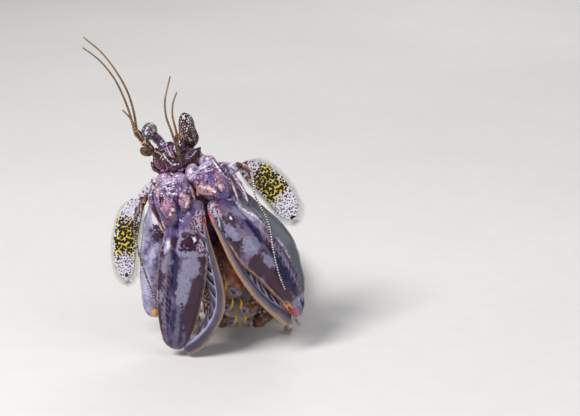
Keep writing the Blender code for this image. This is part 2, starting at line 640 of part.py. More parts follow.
def finger_teeth(claw):
    """Slender spines on the finger's inner edge, leaning towards its tip, longest in the middle."""
    hand = claw["hand"]
    shares = np.linspace(0.2, 0.86, TEETH)
    path = line_at(claw["finger"], shares)
    ahead = line_at(claw["finger"], shares + 0.02)
    tangent = unit(ahead - path)
    face = unit(np.asarray(claw["palm_face"], float))
    inward = unit(np.cross(face, tangent)) * -hand
    teeth = []
    for share, here, along, side in zip(shares, path, tangent, inward):
        length = 2.2 + 3.4 * math.sin(math.pi * min(1.0, share * 1.15))
        tip = here + unit(side * 0.55 + along * 0.84) * (length + 1.6)
        teeth.append(spike(here + side * 0.5, tip, 1.2, 0.35))
    return teeth


MOUTH_LIMBS = {
    "mouth_limb_3_right": (
        (-4.6, 6.5, 33.5), (-6.2, -0.8, 30.6), (-3.8, -4.6, 24.8), (-1.2, -5.6, 20.4), (0.8, -5.6, 17.4),
        (-3.6, -7.4, 20.0), (-3.9, -7.6, 23.4), 3.2),
    "mouth_limb_3_left": (
        (-0.6, 7.0, 33.5), (2.6, -0.6, 30.8), (4.4, -3.2, 25.6), (4.8, -3.8, 21.0), (4.2, -4.2, 17.6),
        (6.4, -5.8, 20.6), (6.2, -6.2, 23.4), 3.0),
    "mouth_limb_4_right": (
        (-4.4, 9.0, 27.5), (-9.0, 1.6, 25.0), (-8.6, -2.0, 19.0), (-6.6, -3.0, 14.2), (-4.6, -3.2, 11.6),
        (-2.2, -4.8, 14.0), (-2.0, -5.0, 16.4), 3.2),
    "mouth_limb_4_left": (
        (2.0, 9.4, 27.5), (7.4, 3.4, 24.6), (7.2, 0.2, 18.6), (4.8, -1.6, 13.8), (2.4, -2.4, 10.8),
        (0.4, -4.0, 13.4), (0.2, -4.2, 15.6), 3.2),
    "mouth_limb_5_right": (
        (-4.4, 11.0, 21.5), (-8.4, 6.0, 16.6), (-8.0, 2.6, 11.0), (-5.6, 1.2, 7.4), (-3.2, 0.8, 5.6),
        (-1.4, -0.6, 8.0), (-1.2, -0.8, 10.0), 3.4),
    "mouth_limb_5_left": (
        (3.0, 12.0, 21.5), (8.0, 7.4, 16.0), (8.2, 4.4, 10.8), (5.8, 2.6, 7.0), (3.4, 2.0, 5.2),
        (1.4, 0.8, 7.4), (1.2, 0.6, 9.4), 3.4),
}


def make_mouth_limb(name):
    """A small limb between the claws: an arm bent down from the chest, a round hand and a hooked nail."""
    *arm, wrist, palm, nail, thick = MOUTH_LIMBS[name]
    arm = (*arm, wrist)
    stout = 1.7 if name == FOREMOST_LIMB else 1.4
    stem = limb(arm, ((0, thick, thick), (0.45, thick * (0.4 + 0.6 * stout), thick * stout * 0.8),
                      (0.78, thick * stout, thick * stout * 0.8), (1, thick * 0.8, 2.0)),
                FRONT, 7, 7, (0.03, 0.1))
    hand = limb((wrist, palm), ((0, 2.2, 1.6), (0.5, 3.4, 1.9), (1, 2.2, 1.4)), FRONT, 4, 7, (0.2, 0.2))
    hook = spike(np.asarray(palm) + (0, 0, -0.6), nail, 1.2, 0.4)
    node(name, "belly", stem, hand, hook)


def make_feelers():
    """Eyes, antennules, antennae and their scales, each posed as it is held."""
    make_eye("left", ((-16.2, 0.6, 57.4), (-15.0, 0.6, 59.6)), (-12.7, 0.4, 58.1), (-14.9, 0.3, 67.9), FRONT)
    make_eye("right", ((-20.6, 0.6, 57.6), (-22.4, 0.8, 60.2)), (-25.1, -4.4, 63.1), (-24.5, 5.0, 61.6),
             (-1.0, 0.0, 0.25))
    make_antennule(
        "left",
        ((-15.3, -5.6, 54.6), (-15.8, -7.2, 57.6), (-16.2, -8.6, 60.6), (-16.4, -9.8, 63.4)),
        (1.7, 1.5, 1.3),
        (
            ((-16.9, -9.5, 62.4), (-17.7, -10.0, 65.2), (-19.0, -10.0, 69.2), (-19.3, -9.2, 73.2),
             (-18.5, -8.0, 77.1), (-17.9, -7.0, 79.6)),
            ((-16.0, -9.4, 62.6), (-16.5, -9.4, 65.3), (-17.4, -8.8, 69.6), (-17.2, -8.0, 72.4),
             (-16.2, -6.8, 75.2)),
            ((-15.7, -9.9, 62.6), (-15.4, -10.4, 65.2), (-15.5, -10.8, 67.2)),
        ),
    )
    make_antennule(
        "right",
        ((-19.9, -4.6, 56.0), (-23.2, -5.3, 58.5), (-25.9, -6.0, 61.4), (-27.7, -6.6, 64.7)),
        (2.9, 2.4, 1.9),
        (
            ((-27.9, -6.7, 64.2), (-29.2, -7.4, 70.0), (-30.6, -8.2, 74.4), (-32.8, -9.2, 79.5),
             (-36.7, -9.6, 84.6), (-40.9, -9.6, 87.9)),
            ((-27.3, -6.4, 64.4), (-28.2, -5.6, 70.0), (-29.6, -5.0, 74.6), (-32.8, -4.8, 80.7),
             (-36.5, -4.8, 85.7), (-41.2, -4.8, 89.8)),
            ((-27.3, -6.9, 64.4), (-28.7, -7.0, 67.6), (-31.0, -7.2, 70.4)),
        ),
    )
    make_antenna(
        "left",
        ((-10.6, 1.0, 51.8), (-7.0, 2.4, 51.8), (-3.0, 3.2, 51.6), (0.6, 3.4, 51.4)),
        ((-0.8, 3.0, 52.6), (1.8, 0.8, 52.2), (3.4, -1.8, 51.2)),
        ((3.4, -1.4, 51.4), (4.2, -4.4, 49.8), (4.6, -7.0, 46.6), (6.2, -8.0, 43.4), (7.8, -8.4, 40.4),
         (8.8, -8.8, 37.0), (9.5, -9.6, 32.6), (10.4, -10.6, 28.2), (11.6, -11.4, 24.0), (13.0, -11.2, 20.4)),
    )
    make_antenna(
        "right",
        ((-18.6, 1.4, 49.4), (-22.0, 2.4, 47.8), (-25.3, 2.6, 45.2), (-28.0, 2.4, 42.0)),
        ((-25.6, 1.6, 44.0), (-26.8, 0.0, 41.8), (-27.6, -1.4, 39.6)),
        ((-27.5, -1.2, 40.2), (-28.9, 0.6, 37.6), (-29.4, 0.6, 34.4), (-28.4, -3.4, 31.2),
         (-26.9, -7.6, 27.4), (-25.1, -9.6, 22.8), (-23.4, -10.6, 18.6), (-22.2, -10.8, 15.0)),
    )
    make_scale("left", ((0.2, 3.6, 51.9), (4.8, 4.8, 49.4), (9.2, 5.2, 45.6), (12.6, 4.6, 41.0),
                        (15.3, 3.2, 36.2)), 7.9, (0.1, -1.0, 0.15))
    make_scale("right", ((-27.2, 2.4, 42.8), (-30.0, 2.6, 37.4), (-31.4, 2.0, 31.4), (-31.8, 1.0, 25.0),
                         (-31.2, 0.0, 19.6)), 7.2, (-0.1, -1.0, 0.0))


def smooth_look():
    """Round shading everywhere but across hard edges."""
    for piece in MADE:
        piece.data.shade_smooth()
        piece.data.set_sharp_from_angle(angle=math.radians(50))


for old in list(bpy.data.objects):
    bpy.data.objects.remove(old)
FINISHES = {
    "shell": material("shell", (0.42, 0.34, 0.44), 0.4),
    "claw": material("claw", (0.50, 0.44, 0.56), 0.35),
    "head": material("head", (0.30, 0.16, 0.26), 0.4),
    "belly": material("belly", (0.42, 0.24, 0.14), 0.5),
    "limb": material("limb", (0.55, 0.42, 0.36), 0.5),
    "eye": material("eye", (0.22, 0.16, 0.12), 0.25),
    "feeler": material("feeler", (0.36, 0.28, 0.16), 0.45),
    "scale": material("scale", (0.72, 0.68, 0.60), 0.45),
    "fan": material("fan", (0.58, 0.46, 0.30), 0.45),
}
make_trunk()
make_telson()
for ring in range(5):
    for side, hand in ((1, "left"), (-1, "right")):
        make_swimmeret(ring, side, hand)
for side, hand in ((1, "left"), (-1, "right")):
    make_uropod(side, hand)
make_head()
for name in CLAWS:
    make_claw(name)
for index in range(3):
    for side, hand in ((1, "left"), (-1, "right")):
        make_walking_leg(index, side, hand)
for name in MOUTH_LIMBS:
    make_mouth_limb(name)
make_feelers()
part_neighbours()
stand_on_floor()
smooth_look()
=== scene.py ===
"""Looks of a life-size mantis shrimp: its shell, claws, eyes, feelers and their colours.

Lengths are millimetres until a mesh is made, in part.py's own frame before its shift to the origin.
The animal faces -Y and its left side is +X. Every skin below is a grid: rows follow a line along the
piece, columns go round it, and marks painted on it are distances in millimetres from their own rims.
"""

import math

import bpy
import numpy as np
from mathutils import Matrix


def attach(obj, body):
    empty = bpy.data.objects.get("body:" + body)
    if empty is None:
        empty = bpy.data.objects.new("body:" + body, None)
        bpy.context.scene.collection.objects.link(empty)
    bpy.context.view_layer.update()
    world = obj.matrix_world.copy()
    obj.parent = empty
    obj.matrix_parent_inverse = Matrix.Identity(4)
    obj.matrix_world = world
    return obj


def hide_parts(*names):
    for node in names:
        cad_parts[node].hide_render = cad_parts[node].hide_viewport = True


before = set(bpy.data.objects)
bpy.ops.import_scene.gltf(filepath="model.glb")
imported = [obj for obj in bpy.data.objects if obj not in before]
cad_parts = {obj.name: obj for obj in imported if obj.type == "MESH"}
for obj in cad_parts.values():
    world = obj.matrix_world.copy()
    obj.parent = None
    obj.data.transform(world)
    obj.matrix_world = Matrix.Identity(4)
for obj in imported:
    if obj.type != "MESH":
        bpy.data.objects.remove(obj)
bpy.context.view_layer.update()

MM = 0.001
ORIGIN = np.array((-11.4, 52.4, 0.0))
FRONT = (0.0, -1.0, 0.0)
UP = (0.0, 0.0, 1.0)
OUTSIDE = -9.0  # a mark's value where it isn't painted
LIFT = 0.03  # least height over the floor, so that nothing dips into it
PATCH = 0.003  # how wide a hair's patch is on its bake map

# The body, as in the solids.
BODY_LINE = (
    (-14.5, 4.5, 54.0),
    (-11.0, 6.5, 46.0),
    (-7.0, 9.0, 36.0),
    (-3.0, 12.0, 26.0),
    (0.0, 17.5, 17.5),
    (1.5, 27.0, 11.5),
    (2.0, 40.0, 9.2),
    (1.0, 55.0, 8.6),
    (-3.0, 75.0, 8.2),
    (-8.5, 95.0, 6.6),
    (-14.0, 118.0, 2.6),
)
BODY_YAW = 6.0
SHIELD_END = 33.0
THORAX_PITCH = 6.0
ABDOMEN_LENGTHS = (11.5, 11.5, 11.5, 11.5, 11.0, 8.5)
ABDOMEN_START = SHIELD_END + 4 * THORAX_PITCH
TELSON_START = ABDOMEN_START + sum(ABDOMEN_LENGTHS)
TELSON_LENGTH = 22.5
BODY_SIZES = (
    (-2.0, 3.6, 2.6, 3.2),
    (6.0, 6.0, 4.4, 4.3),
    (15.0, 10.0, 6.6, 5.2),
    (25.0, 12.2, 7.2, 5.4),
    (33.0, 12.8, 6.9, 5.2),
    (45.0, 12.2, 6.0, 4.8),
    (57.0, 13.2, 5.6, 4.6),
    (80.0, 14.2, 5.6, 4.6),
    (103.0, 14.0, 5.2, 4.4),
    (122.5, 12.6, 4.2, 3.4),
)


# Curves and directions

def unit(vectors):
    vectors = np.asarray(vectors, float)
    return vectors / np.maximum(np.linalg.norm(vectors, axis=-1, keepdims=True), 1e-9)


def smooth(knots, values, at):
    """A cubic through the values: h00 v0 + h01 v1 + (h10 s0 + h11 s1) step, s being their slopes."""
    knots, values, at = (np.asarray(x, float) for x in (knots, values, at))
    slopes = np.gradient(values, knots, axis=0)
    i = np.clip(np.searchsorted(knots, at) - 1, 0, len(knots) - 2)
    step = knots[i + 1] - knots[i]
    u = (at - knots[i]) / step
    if values.ndim == 2:
        u, step = u[..., None], step[..., None]
    rise = u * u * (3 - 2 * u)
    ends = values[i] * (1 - rise) + values[i + 1] * rise
    return ends + step * (slopes[i] * u * (1 - u) ** 2 - slopes[i + 1] * u * u * (1 - u))


def traced(points, count=600):
    """The smooth line through the points as short steps, and the length run at each step."""
    points = np.asarray(points, float)
    knots = np.r_[0, np.cumsum(np.linalg.norm(np.diff(points, axis=0), axis=1))]
    fine = smooth(knots, points, np.linspace(0, knots[-1], count))
    return fine, np.r_[0, np.cumsum(np.linalg.norm(np.diff(fine, axis=0), axis=1))]


def line_at(points, shares):
    """Places at these shares of the line's length."""
    fine, run = traced(points)
    wanted = np.asarray(shares, float) * run[-1]
    return np.stack([np.interp(wanted, run, fine[:, k]) for k in range(3)], -1)


def hump(x, centre, width):
    """A bell of height 1: exp(-((x - centre) / width)^2)."""
    return np.exp(-(((x - centre) / width) ** 2))


def step_up(x, low, high):
    """0 below low and 1 above high, by 3s^2 - 2s^3 between them."""
    s = np.clip((x - low) / (high - low), 0, 1)
    return s * s * (3 - 2 * s)


# Random fields with a fixed seed

def hashed(key, seed):
    """A repeatable number from -1 to 1 for each whole-number place."""
    key = key.astype(np.int64)
    mixed = key[..., 0] * 73856093 ^ key[..., 1] * 19349663 ^ key[..., 2] * 83492791 ^ seed * 2654435761
    mixed = (mixed ^ (mixed >> 13)) * 1274126177 & 0x7FFFFFFF
    mixed = (mixed ^ (mixed >> 16)) * 73244475 & 0x7FFFFFFF
    return mixed / 0x3FFFFFFF - 1.0


def clouds(points, size, seed, octaves=2):
    """Soft noise: random values at the corners of cubes of this size, blended, plus finer halves."""
    total, weight = 0.0, 1.0
    for octave in range(octaves):
        scaled = np.asarray(points) / size * 2**octave
        cell = np.floor(scaled)
        part = scaled - cell
        blend = part * part * (3 - 2 * part)
        for corner in np.ndindex(2, 2, 2):
            corner = np.array(corner)
            share = np.prod(np.where(corner, blend, 1 - blend), axis=-1)
            total = total + hashed(cell + corner, seed + octave) * share * weight
        weight *= 0.5
    return total


def pebbles(points, size, seed):
    """Rounded grains: 1 - d^2 by the distance d, in sizes, to the nearest of jittered centres."""
    scaled = np.asarray(points) / size
    cell = np.floor(scaled)
    nearest = np.full(scaled.shape[:-1], 9.0)
    for offset in np.ndindex(3, 3, 3):
        corner = cell + np.array(offset) - 1
        jitter = np.stack([hashed(corner, seed + k) for k in range(3)], -1) * 0.42 + 0.5
        nearest = np.minimum(nearest, ((corner + jitter - scaled) ** 2).sum(-1))
    return 1 - np.minimum(nearest, 1.0)


# Marks, as signed distances in millimetres: above 0 inside, below 0 outside

def spots(x, y, marks):
    """Ellipses of (x, y, half width, half length, turn in degrees): (1 - r) times the smaller half."""
    field = np.full(np.broadcast(x, y).shape, OUTSIDE)
    for cx, cy, rx, ry, *turn in marks:
        angle = math.radians(turn[0] if turn else 0)
        dx, dy = x - cx, y - cy
        a = (dx * math.cos(angle) + dy * math.sin(angle)) / rx
        b = (dy * math.cos(angle) - dx * math.sin(angle)) / ry
        field = np.maximum(field, (1 - np.hypot(a, b)) * min(rx, ry))
    return field


def streak(x, y, path, half):
    """A stripe along a chain of points: half its width less the distance to the chain."""
    x, y = np.broadcast_arrays(x, y)
    nearest = np.full(x.shape, 99.0)
    for (ax, ay), (bx, by) in zip(path[:-1], path[1:]):
        along = ((x - ax) * (bx - ax) + (y - ay) * (by - ay)) / ((bx - ax) ** 2 + (by - ay) ** 2)
        along = np.clip(along, 0, 1)
        nearest = np.minimum(nearest, np.hypot(x - ax - along * (bx - ax), y - ay - along * (by - ay)))
    return half - nearest


def seen(place, centre):
    """Across and up from a centre, in millimetres, as looked at from in front and 16 degrees above."""
    away = place - np.asarray(centre, float)
    return away[..., 0], away[..., 1] * 0.276 + away[..., 2] * 0.961


def ridge_along(x, y, path, half, rise):
    """A rounded rib on a chain of points: rise * exp(-(distance / half)^2)."""
    return rise * np.exp(-(np.maximum(half - streak(x, y, path, half), 0) / half) ** 2)


# Skins

class Skin:
    """A grid of places with x across and y along it in millimetres, and the marks painted on it."""

    def __init__(self, place, x, y, closed_round=True, capped=True):
        self.place = place
        self.x, self.y = np.broadcast_to(x, place.shape[:2]), np.broadcast_to(y, place.shape[:2])
        self.closed_round, self.capped = closed_round, capped
        self.marks = {}

    def normals(self):
        """Outward directions: the cross product of the grid's two central differences."""
        along = np.gradient(self.place, axis=0)
        if self.closed_round:
            across = np.roll(self.place, -1, 1) - np.roll(self.place, 1, 1)
        else:
            across = np.gradient(self.place, axis=1)
        return unit(np.cross(across, along))

    def raised(self, height):
        """Moves each place along its outward direction by this height."""
        normal = self.normals()
        middle = self.place.mean(1, keepdims=True)
        outward = np.sign(((self.place - middle) * normal).sum())
        self.place = self.place + normal * outward * np.asarray(height)[..., None]
        return self

    def paint(self, **marks):
        for name, value in marks.items():
            value = np.broadcast_to(value, self.place.shape[:2])
            self.marks[name] = np.maximum(self.marks[name], value) if name in self.marks else value
        return self


def along_shares(rows, crowd=0.5):
    """Shares from 0 to 1, closer together near both ends: an even run mixed with (1 - cos) / 2."""
    even = np.linspace(0, 1, rows)
    return (1 - crowd) * even + crowd * (1 - np.cos(np.pi * even)) / 2


def end_rounding(t, start, end):
    """1 along the middle, falling as a quarter circle over a share of the length at each end."""
    factor = np.ones_like(t)
    for share, distance in ((start, t), (end, 1 - t)):
        if share:
            near = np.clip(1 - distance / share, 0, 1)
            factor = factor * np.sqrt(np.clip(1 - near * near, 0.0009, 1))
    return factor


def limb(points, sizes, face=FRONT, rows=40, around=28, ends=(0.1, 0.1), square=(1.0, 1.0), relief=None,
         crowd=0.5):
    """Rings along a line: across = width/2 cos^p, out = depth/2 sin^q, turned to look along face.

    Each row of sizes is (share of the length, width, depth). relief(skin) adds a height to the ring's
    outside from the skin's u and front, the ring's cosine and sine, and t, its share of the length.
    """
    t = along_shares(rows, crowd)
    path = line_at(points, t)
    length = traced(points)[1][-1]
    sizes = np.asarray(sizes, float)
    rounding = end_rounding(t, *ends)
    width = smooth(sizes[:, 0], sizes[:, 1], t) * rounding
    depth = smooth(sizes[:, 0], sizes[:, 2], t) * rounding
    tangent = unit(np.gradient(path, axis=0))
    face = np.broadcast_to(np.asarray(face, float), path.shape)
    face = unit(face - (face * tangent).sum(1, keepdims=True) * tangent)
    side = np.cross(face, tangent)
    angle = 2 * np.pi * np.arange(around) / around
    u, front = np.cos(angle)[None, :], np.sin(angle)[None, :]
    across = np.sign(u) * np.abs(u) ** square[0] * width[:, None] / 2
    out = np.sign(front) * np.abs(front) ** square[1] * depth[:, None] / 2
    place = path[:, None] + side[:, None] * across[..., None] + face[:, None] * out[..., None]
    skin = Skin(place, across, t[:, None] * length)
    skin.u, skin.t, skin.front = (np.broadcast_to(v, across.shape) for v in (u, t[:, None], front))
    skin.length, skin.side, skin.face, skin.path, skin.width = length, side, face, path, width
    if relief:
        skin.raised(relief(skin) * rounding[:, None])
    return skin


def spine(root, tip, thick, bend=(0, 0, 0), rows=7, around=6, thin=0.05):
    """A spine that tapers as (1 - t)^0.8 from its root to its tip, bowed by t(1 - t) bend."""
    t = np.linspace(0, 1, rows)
    root, tip, bend = (np.asarray(v, float) for v in (root, tip, bend))
    path = root + (tip - root) * t[:, None] + 4 * bend * (t * (1 - t))[:, None]
    tangent = unit(np.gradient(path, axis=0))
    side = unit(np.cross(tangent, (0.31, 0.22, 0.93)))
    over = np.cross(side, tangent)
    radius = thick / 2 * (1 - t) ** 0.8 + thin
    angle = 2 * np.pi * np.arange(around) / around
    ring = side[:, None] * np.cos(angle)[None, :, None] + over[:, None] * np.sin(angle)[None, :, None]
    length = np.linalg.norm(tip - root)
    skin = Skin(path[:, None] + ring * radius[:, None, None], np.cos(angle)[None, :] * radius[:, None],
                t[:, None] * length)
    skin.t = np.broadcast_to(t[:, None], skin.x.shape)
    return skin


def bristles(roots, tips, thick, patches, bend=(0.0, 0.0, 0.0), rows=4, around=3):
    """Many hairs in one array: thin cones of few sides, each bowed from its root to its tip.

    The place of ring r of a hair is root + (tip - root) r + 4 bend r(1 - r), plus its radius times the
    ring's direction, and the rings end in a point. Each hair's patch on the OFBake map lies at its root's
    place on the unwrapped skin.
    """
    roots, tips = np.asarray(roots, float), np.asarray(tips, float)
    r = np.linspace(0, 1, rows)
    bend = np.broadcast_to(np.asarray(bend, float), roots.shape)
    path = roots[:, None] + (tips - roots)[:, None] * r[None, :, None]
    path = path + 4 * bend[:, None] * (r * (1 - r))[None, :, None]
    tangent = unit(tips - roots)
    side = unit(np.cross(tangent, (0.31, 0.22, 0.93)))
    over = np.cross(side, tangent)
    angle = 2 * np.pi * np.arange(around) / around
    ring = side[:, None] * np.cos(angle)[None, :, None] + over[:, None] * np.sin(angle)[None, :, None]
    radius = np.broadcast_to(np.asarray(thick, float), (len(roots),))[:, None] / 2 * (1 - 0.8 * r)[None, :-1]
    sides = path[:, :-1, None] + ring[:, None] * radius[..., None, None]
    points = np.concatenate([sides.reshape(len(roots), -1, 3), path[:, -1:]], 1)
    per = (rows - 1) * around + 1
    index = np.arange(len(roots) * per).reshape(len(roots), per)
    grid = index[:, :-1].reshape(len(roots), rows - 1, around)
    ahead = np.roll(grid, -1, 2)
    walls = np.stack([grid[:, :-1], grid[:, 1:], ahead[:, 1:], ahead[:, :-1]], -1).reshape(-1, 4)
    tip = np.broadcast_to(index[:, -1:], (len(roots), around))
    ends = np.stack([grid[:, -1], tip, ahead[:, -1]], -1).reshape(-1, 3)
    if around == 3:
        ends = np.vstack([ends, grid[:, 0]])
    else:
        walls = np.vstack([walls, grid[:, 0]])
    spread = np.stack([np.tile(np.cos(angle), rows - 1), np.repeat(r[:-1] * 2 - 1, around)], 1)
    spread = np.vstack([spread, (0.0, 1.0)]) * PATCH / 2
    places = (np.asarray(patches, float)[:, None] + spread[None]).reshape(-1, 2)
    return points.reshape(-1, 3), walls, ends, places


def rooted(skin, t, turn):
    """Places on a skin at shares t of its length and turn of its way round, blended from the grid.

    Gives the place, the outward, lengthwise and sideways directions, and the place on the unwrapped skin.
    """
    rows, around = skin.place.shape[:2]
    t, turn = np.broadcast_arrays(np.asarray(t, float), np.asarray(turn, float))
    row = np.clip(np.interp(t, skin.t[:, 0], np.arange(rows)), 0, rows - 1.001)
    column = (turn % 1) * around
    i, j = row.astype(int), column.astype(int)
    row_part, column_part = (row - i)[:, None], (column - j)[:, None]
    normal = skin.normals()
    middle = skin.place.mean(1, keepdims=True)
    normal = normal * np.sign(((skin.place - middle) * normal).sum())
    along = np.gradient(skin.place, axis=0)

    def blended(field):
        j1 = (j + 1) % around
        near = field[i, j] * (1 - column_part) + field[i, j1] * column_part
        far = field[i + 1, j] * (1 - column_part) + field[i + 1, j1] * column_part
        return near * (1 - row_part) + far * row_part

    out, ahead = unit(blended(normal)), unit(blended(along))
    patch = np.stack([0.02 + 0.96 * (turn % 1), 0.02 + 0.96 * t], 1)
    return blended(skin.place), out, ahead, unit(np.cross(out, ahead)), patch


def hairs_on(skin, t, turn, length, lean, thick=0.08, sag=0.12, seed=1, untidy=0.12, rows=4, around=3):
    """Hairs rooted on a skin. lean is (out, along, sideways); sag bows them towards the skin's tip."""
    root, out, ahead, side, patch = rooted(skin, t, turn)
    stray = np.stack([hashed(np.round(root * 97).astype(int), seed + k) for k in range(4)], 1)
    out_part, along_part, side_part = (np.broadcast_to(v, len(root))[:, None] for v in lean)
    way = out * out_part + ahead * along_part + side * side_part
    way = unit(way) + untidy * (out * stray[:, :1] + ahead * stray[:, 1:2] + side * stray[:, 2:3])
    length = np.broadcast_to(length, len(root))[:, None] * (1 + 0.18 * stray[:, 3:])
    tip = root + unit(way) * length
    bend = -ahead * length * sag * 0.5
    return bristles(root - out * 0.06, tip, thick, patch, bend, rows, around)


def skin_mesh(skin):
    """Points, quads and end triangles of one skin, wound so that they face outwards."""
    rows, around = skin.place.shape[:2]
    points = skin.place.reshape(-1, 3)
    index = np.arange(rows * around).reshape(rows, around)
    if skin.closed_round:
        a, b = index[:-1], np.roll(index, -1, 1)[:-1]
        c, d = np.roll(index, -1, 1)[1:], index[1:]
    else:
        a, b, c, d = index[:-1, :-1], index[:-1, 1:], index[1:, 1:], index[1:, :-1]
    quads = np.stack([a, b, c, d], -1).reshape(-1, 4)
    fans = np.zeros((0, 3), int)
    if skin.capped is True and skin.closed_round:
        points = np.vstack([points, skin.place[0].mean(0), skin.place[-1].mean(0)])
        first, last = rows * around, rows * around + 1
        ahead = np.roll(index, -1, 1)
        fans = np.vstack([
            np.stack([np.full(around, first), ahead[0], index[0]], 1),
            np.stack([np.full(around, last), index[-1], ahead[-1]], 1),
        ])
    if skin.capped == "folded":
        half = around // 2
        over, under = index[:, :half], index[:, :half - 1:-1]
        for row, turn in ((0, 1), (-1, -1)):
            strip = np.stack([over[row, :-1], under[row, :-1], under[row, 1:], over[row, 1:]], 1)
            quads = np.vstack([quads, strip[:, ::turn]])
    corner = points[quads]
    volume = (corner[:, 0] * np.cross(corner[:, 1] - corner[:, 0], corner[:, 2] - corner[:, 0])).sum()
    volume += (corner[:, 0] * np.cross(corner[:, 2] - corner[:, 0], corner[:, 3] - corner[:, 0])).sum()
    if volume < 0:
        quads, fans = quads[:, ::-1], fans[:, ::-1]
    return points, quads, fans


def build(name, skins, finish, hairs=(), replaces=(), floor=True):
    """One named piece made of several skins and bunches of hairs, with its marks as attributes."""
    points, quads, tris = [], [], []
    names = FINISH_MARKS[finish]
    columns = {mark: [] for mark in names}
    lays, maps = [], []
    count = 0
    for skin in skins:
        p, q, f = skin_mesh(skin)
        extra = len(p) - skin.x.size
        for mark in names:
            value = np.broadcast_to(skin.marks.get(mark, OUTSIDE), skin.x.shape)
            ends = [value[0].mean(), value[-1].mean()][:extra] if extra else []
            columns[mark].append(np.r_[value.ravel(), ends])
        lay = np.stack([skin.x, skin.y, np.zeros_like(skin.x)], -1).reshape(-1, 3)
        if extra:
            lay = np.vstack([lay, (0, skin.y[0].mean(), 0), (0, skin.y[-1].mean(), 0)])
        lays.append(lay)
        maps.append(np.zeros((len(p), 2)))
        points.append(p)
        quads.append(q + count)
        tris.append(f + count)
        count += len(p)
    for p, q, f, place in hairs:
        for mark in names:
            columns[mark].append(np.full(len(p), OUTSIDE))
        lays.append(p - p.min(0))
        maps.append(place)
        points.append(p)
        quads.append(q + count)
        tris.append(f + count)
        count += len(p)
    points, quads, tris = np.vstack(points), np.vstack(quads), np.vstack(tris)
    if floor:
        points[:, 2] = np.maximum(points[:, 2], LIFT)
    mesh = bpy.data.meshes.new(name)
    mesh.vertices.add(len(points))
    mesh.vertices.foreach_set("co", ((points - ORIGIN) * MM).astype(np.float32).ravel())
    loops = np.concatenate([quads.ravel(), tris.ravel()])
    starts = np.concatenate([np.arange(len(quads)) * 4, len(quads) * 4 + np.arange(len(tris)) * 3])
    mesh.loops.add(len(loops))
    mesh.loops.foreach_set("vertex_index", loops.astype(np.int32))
    mesh.polygons.add(len(starts))
    mesh.polygons.foreach_set("loop_start", starts.astype(np.int32))
    mesh.update(calc_edges=True)
    mesh.validate()
    mesh.shade_smooth()
    for mark in names:
        layer = mesh.attributes.new(mark, "FLOAT", "POINT")
        layer.data.foreach_set("value", np.concatenate(columns[mark]).astype(np.float32))
    lay = mesh.attributes.new("lay", "FLOAT_VECTOR", "POINT")
    lay.data.foreach_set("vector", np.vstack(lays).astype(np.float32).ravel())
    if hairs:
        unwrapped = mesh.uv_layers.new(name="OFBake")
        corners = np.empty(len(mesh.loops), np.int32)
        mesh.loops.foreach_get("vertex_index", corners)
        unwrapped.data.foreach_set("uv", np.vstack(maps)[corners].astype(np.float32).ravel())
    piece = bpy.data.objects.new(name, mesh)
    bpy.context.scene.collection.objects.link(piece)
    piece.data.materials.append(FINISHES[finish])
    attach(piece, "root")
    for node in replaces:
        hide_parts(node)
    return piece


# Finishes

def tint(red, green, blue):
    """A colour as it looks on screen, 0 to 255, turned to linear light."""
    channel = np.array((red, green, blue)) / 255
    linear = np.where(channel <= 0.04045, channel / 12.92, ((channel + 0.055) / 1.055) ** 2.4)
    return (*linear.tolist(), 1.0)


